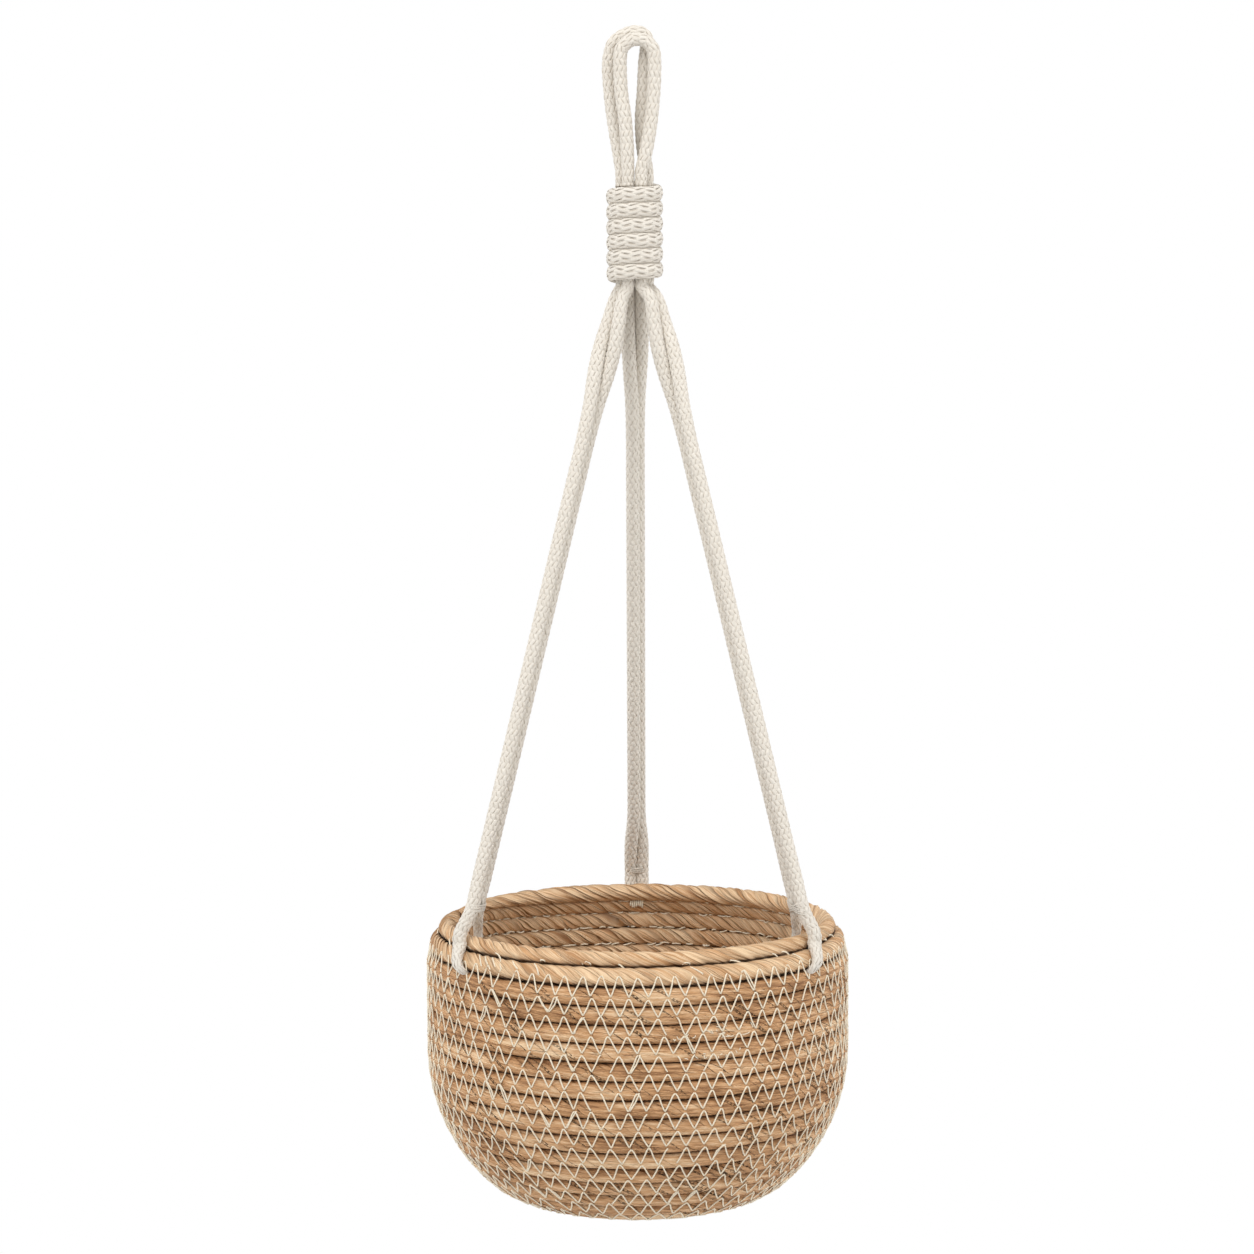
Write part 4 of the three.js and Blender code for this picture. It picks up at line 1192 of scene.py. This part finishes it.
def sewn_eye(ropes, winding, hanger):
    """The back hanger's legs part sideways, and its bight lies outside the top coils"""
    rope, fit = ropes.back_leg_rope, ropes.fit
    (rim_r, rim_z), (second_r, second_z), (third_r, _) = top_coils(winding)
    leg_out = math.hypot(winding.rope / 2, winding.rope / 4) + 2 * fit + rope / 2
    spread = rope / 2 + fit
    bight_z = second_z - (winding.rope + rope) / 2

    def place(radius, sideways, z, turn):
        out = beside_rim(hanger["azimuth"], 0, math.cos(turn), -math.sin(turn))
        swollen = mix(rope, rope * hanger["eye_swell"], abs(math.cos(turn)))
        return [*beside_rim(hanger["azimuth"], radius, sideways, z), rope / 2, swollen / 2, *out]

    return [
        place(rim_r + leg_out, spread, rim_z, 0),
        place(second_r + leg_out, spread, second_z, 0),
        place(third_r + leg_out, 0, bight_z, math.pi / 2),
        place(second_r + leg_out, -spread, second_z, math.pi),
        place(rim_r + leg_out, -spread, rim_z, math.pi),
    ]


def hangers(ropes, winding):
    """The three doubled hangers, each with the stops of its route down, round its eye and up again"""
    reach = winding.rope / 2 + ropes.fit
    front = {
        "eye": threaded_eye, "eye_height": 17 * MM, "eye_out": 0,
        "eye_spacing": ropes.rope + ropes.fit, "eye_rope": ropes.rope, "eye_swell": 1.06,
    }
    made = [
        {
            "name": "left", "azimuth": 212.2, "top_azimuth": 210, "turn_from": 120, "turn_to": 248,
            "eye_lay": 248, "flare": 1.8 * MM, "neck_turn": NECK_TURN, "inner_turn": -INNER_LEG_TURN,
            "bound": ("bound_run_left_outer", "bound_run_left_inner"), **front,
        },
        {
            "name": "right", "azimuth": 327.1, "top_azimuth": 330, "turn_from": 60, "turn_to": -68,
            "eye_lay": -64, "flare": 3.4 * MM, "neck_turn": -NECK_TURN, "inner_turn": INNER_LEG_TURN,
            "bound": ("bound_run_right_front", "bound_run_right_rear"), **front,
        },
        {
            "name": "back", "azimuth": 90, "top_azimuth": 90, "turn_from": 180, "turn_to": 248,
            "eye_lay": 180, "flare": 0, "eye": sewn_eye, "eye_height": 9.5 * MM,
            "eye_out": reach + ropes.back_leg_rope / 2, "eye_spacing": ropes.back_leg_rope + ropes.fit,
            "eye_rope": ropes.back_leg_rope, "eye_swell": 1.22,
            "bound": ("bound_run_back_left", "bound_run_back_right"),
        },
    ]
    for hanger in made:
        hanger["down"] = hanger_run(ropes, winding, hanger, 1)
        hanger["up"] = hanger_run(ropes, winding, hanger, -1)[::-1]
        hanger["eye"] = hanger["eye"](ropes, winding, hanger)
    return made


LOOP_SPLIT = -6.5 * MM  # where the loop's crown ends and its legs begin
# Each leg's route, as [x, y, depth] under the hook, from the crown down to the wrap
LOOP_LEGS = {
    "left_inner": ((-6.5, -4.1, 22), (-4.6, -4.9, 36), (-3.6, -5.4, 50)),
    "left_outer": ((-12, 3.4, 22), (-10.1, 2.6, 38), (-7.8, 1.4, 52)),
    "right_front": ((9.8, -4.1, 22), (8.2, -4.8, 38), (5.8, -5.4, 52)),
    "right_rear": ((4.7, 3.9, 22), (3.7, 4.1, 36), (4.4, 2.8, 50)),
}
REAR_LIFT = 4.2 * MM  # the rear strand's underside rides this far above the hook
REAR_LEAN = 4.4 * MM  # and the top of its bow lies this far right of its middle
# Each strand over the hook: its side, its lift and lean, and its legs with their starts and places below
LOOP_STRANDS = (
    ("front", -1, None, 0, ("left_inner", -7, 240), ("right_front", 10.2, 300)),
    ("rear", 1, REAR_LIFT, REAR_LEAN, ("left_outer", -12.6, 180), ("right_rear", 5.6, 0)),
)


def loop_leg(ropes, leg, start_x, start_y, degrees):
    """Stops of one leg, from the crown down into the wrap"""
    end_x, end_y = bound_place(ropes, degrees)
    half, bound = ropes.rope / 2, ropes.bound_rope * BOUND_SWELL / 2
    return [
        [start_x * MM, start_y, LOOP_SPLIT, half],
        *([x * MM, y * MM, -depth * MM, half] for x, y, depth in LOOP_LEGS[leg]),
        [end_x, end_y, WRAP_TOP + ropes.rope, bound],
        [end_x, end_y, WRAP_TOP + ropes.rope / 2, bound],
        [end_x, end_y, WRAP_TOP + ropes.fit, bound],
    ]


def loop_crown(ropes, left_x, right_x, y, lift, lean):
    """Stops of the bow over the hook. With no lift given, the hook at the origin bears under it"""
    reach, middle_x = (right_x - left_x) / 2 * MM, (right_x + left_x) / 2 * MM
    inside = reach - ropes.rope / 2
    lift = inside - math.sqrt(inside**2 - middle_x**2) if lift is None else lift
    stops = []
    for step in range(1, 8):
        turn = math.pi * (1 - step / 8)
        x = middle_x + reach * math.cos(turn) + lean * math.sin(turn)
        stops.append([x, y, ropes.rope / 2 + lift - reach + reach * math.sin(turn), ropes.rope / 2])
    return stops


class PLANTER_OT_loop(bpy.types.Operator):
    """Lead the two strands of the hanging loop over the hook"""

    bl_idname = "planter.loop"
    bl_label = "Hanging loop"

    def execute(self, context):
        ropes = context.scene.planter_ropes
        finish = finish_named(context, "Braided cotton")
        for name, way, lift, lean, left, right in LOOP_STRANDS:
            (left_leg, left_x, left_place), (right_leg, right_x, right_place) = left, right
            y = way * (ropes.rope + ropes.fit) / 2
            stops = [
                *loop_leg(ropes, left_leg, left_x, y, left_place)[::-1],
                *loop_crown(ropes, left_x, right_x, y, lift, lean),
                *loop_leg(ropes, right_leg, right_x, y, right_place),
            ]
            line = spline(stops, 0.8 * MM)
            points, half = line[:, :3], line[:, 3]
            shell = Shell()
            braid(shell, ropes, ropes.loop_lay, points, half, half, carried_frames(points))
            piece = shell.piece("loop_strand_" + name, finish)
            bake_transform(piece)
            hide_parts("loop_crown_" + name, "loop_leg_" + left_leg, "loop_leg_" + right_leg)
        return {"FINISHED"}


WRAP_TUCK = 0.12  # of a turn, in which an end of the wrap tucks in behind the other turns
TUCK_EDGE = 0.02  # of a turn before it, where the rope starts to leave its level
TUCK_SHIFT = 2.6 * MM  # how far up or down it goes, into the wrap
TUCK_SINK = 3.2 * MM  # and how far in towards the bound ropes
TUCK_HEIGHT, TUCK_THICKNESS = 0.5, 0.6  # shares of the rope's size that are left at its very end


class PLANTER_OT_wrap(bpy.types.Operator):
    """Wind the gathering wrap round the ropes"""

    bl_idname = "planter.wrap"
    bl_label = "Gathering wrap"

    def execute(self, context):
        ropes = context.scene.planter_ropes
        finish = finish_named(context, "Braided cotton")
        bore = ropes.bound_rope * 1.5 + 2 * ropes.fit
        radius = bore + ropes.wrap_thickness / 2
        pitch = (WRAP_TOP - WRAP_BOTTOM) / ropes.wrap_turns
        turned = np.arange(-WRAP_TUCK, ropes.wrap_turns + WRAP_TUCK, 0.9 * MM / (FULL_TURN * radius))
        upper_end = smooth(TUCK_EDGE, -WRAP_TUCK, turned)
        lower_end = smooth(ropes.wrap_turns - TUCK_EDGE, ropes.wrap_turns + WRAP_TUCK, turned)
        inside = np.maximum(upper_end, lower_end)
        # Each turn lies nearly level in front and steps down to the next one at the back
        level = np.clip(turned, 0, ropes.wrap_turns)
        level = WRAP_TOP - pitch * (level + ropes.wrap_back_climb * np.sin(FULL_TURN * level) / FULL_TURN)
        level = level - np.where(turned < ropes.wrap_turns / 2, 1, -1) * TUCK_SHIFT * inside
        azimuth = math.pi / 2 - FULL_TURN * turned
        out = np.stack([np.cos(azimuth), np.sin(azimuth), np.zeros_like(azimuth)], axis=1)
        points = out * (radius - TUCK_SINK * inside)[:, None] + UP * level[:, None]
        shell = Shell()
        half_up = ropes.wrap_height / 2 * mix(1, TUCK_HEIGHT, inside)
        half_out = ropes.wrap_thickness / 2 * mix(1, TUCK_THICKNESS, inside)
        frames = np.broadcast_to(UP, points.shape), -out
        braid(shell, ropes, ropes.wrap_lay, points, half_up, half_out, frames)
        piece = shell.piece("gathering_wrap_rope", finish, "wrap")
        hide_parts("gathering_wrap")
        return {"FINISHED"}


# A thread's way across a hanger's two runs, as shares of their thickness: along the line that joins them,
# and out from it. The front tacks go on round the front run, and the back one stays between the runs
FRONT_TACK_SHARES = (
    (1.0, 0.1), (0.96, 0.22), (0.72, 0.46), (0.5, 0.55), (0.0, 0.57), (-0.5, 0.55), (-0.74, 0.45), (-0.9, 0.1)
)
BACK_TACK_SHARES = (
    (0.56, 0.3), (0.5, 0.48), (0.25, 0.56), (0.0, 0.57), (-0.25, 0.56), (-0.5, 0.48), (-0.56, 0.3)
)
# Each tack's threads, as heights above the point where the runs part and slants
TACK_THREADS = {
    "left": [(0.3, 0.05), (1.1, 0.0), (1.9, 0.04), (2.7, -0.03), (3.4, 0.02)],
    "right": [(0.2, 0.3), (1.2, 0.3), (2.2, 0.3), (0.6, -0.3), (1.6, -0.3), (2.6, -0.3)],
    "back": [(1.2, 0.0), (2.3, 0.03), (3.4, -0.02)],
}


class PLANTER_OT_tacks(bpy.types.Operator):
    """Sew the hangers' runs together and the back hanger to the wall"""

    bl_idname = "planter.tacks"
    bl_label = "Tacks"

    def execute(self, context):
        ropes, thread = context.scene.planter_ropes, context.scene.planter_thread
        winding = Winding(context.scene.planter_basket)
        finish = finish_named(context, "Braided cotton")
        for hanger in hangers(ropes, winding):
            shell = Shell()
            shares = BACK_TACK_SHARES if hanger["name"] == "back" else FRONT_TACK_SHARES
            self.tack(shell, hanger, shares, TACK_THREADS[hanger["name"]], thread.thickness / 2)
            self.finish(shell, "eye_thread_" + hanger["name"], "eye_tack_" + hanger["name"], finish)
        finish = finish_named(context, "Sewing thread")
        shell = Shell()
        # Seven threads side by side, which lie from the rim's groove down over the second coil
        turns = winding.rim_turn - 1 + BACK_SHARE + np.arange(-3, 4) * 1.05 * winding.mm_turn
        source = np.random.default_rng(TACK_SEED)
        starts = turns, source.normal(1.15, 0.05, len(turns))
        ends = turns + 0.3 * winding.mm_turn, source.normal(0.3, 0.08, len(turns))
        radius = 0.6 * thread.thickness
        sew(shell, winding, source, starts, ends, radius, side=-1, sag=-0.4 * MM, lift=2.2 * LOOSE_LIFT)
        self.finish(shell, "wall_thread_back", "wall_tack_back", finish)
        return {"FINISHED"}

    def tack(self, shell, hanger, shares, threads, radius):
        down_above, down = np.array(hanger["down"])[-2:, :3]
        up, up_above = np.array(hanger["up"])[:2, :3]
        rise = unit((down_above + up_above - down - up) / 2)
        along = unit(down - up)
        out = np.cross(rise, along)
        out = out if out[1] < 0 else -out
        thick = hanger["eye_rope"]
        middle = (down + up) / 2
        outs = np.array([unit(along * a + out * max(o, 0.2)) for a, o in shares])
        for height, slant in threads:
            places = [
                middle + along * a * thick + out * o * thick + rise * (height * MM + slant * a * thick)
                for a, o in shares
            ]
            thread_tubes(shell, np.array(places)[None], outs[None], radius)

    def finish(self, shell, name, replaced, finish):
        piece = shell.piece(name, finish, "basket")
        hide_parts(replaced)


class PLANTER_PT_panel(bpy.types.Panel):
    """Lists the planter's sizes and the steps that make it"""

    bl_idname = "PLANTER_PT_panel"
    bl_label = "Hanging planter"
    bl_space_type = "VIEW_3D"
    bl_region_type = "UI"
    bl_category = "Planter"

    def draw(self, context):
        for name, group in SETTINGS.items():
            box = self.layout.box()
            for key in group.__annotations__:
                box.prop(getattr(context.scene, name), key)
        for step in STEPS:
            self.layout.operator(step.bl_idname)


STEPS = (
    PLANTER_OT_stage,
    PLANTER_OT_hangers,
    PLANTER_OT_loop,
    PLANTER_OT_wrap,
    PLANTER_OT_basket,
    PLANTER_OT_stitching,
    PLANTER_OT_tacks,
)


def register():
    for kind in (*SETTINGS.values(), *STEPS, PLANTER_PT_panel):
        bpy.utils.register_class(kind)
    for name, group in SETTINGS.items():
        setattr(bpy.types.Scene, name, bpy.props.PointerProperty(type=group))


def unregister():
    for name in SETTINGS:
        delattr(bpy.types.Scene, name)
    for kind in (PLANTER_PT_panel, *STEPS, *SETTINGS.values()):
        bpy.utils.unregister_class(kind)


def main():
    register()
    for step in STEPS:
        bpy.ops.object.select_all(action="DESELECT")
        group, name = step.bl_idname.split(".")
        getattr(getattr(bpy.ops, group), name)()


if __name__ == "__main__":
    main()
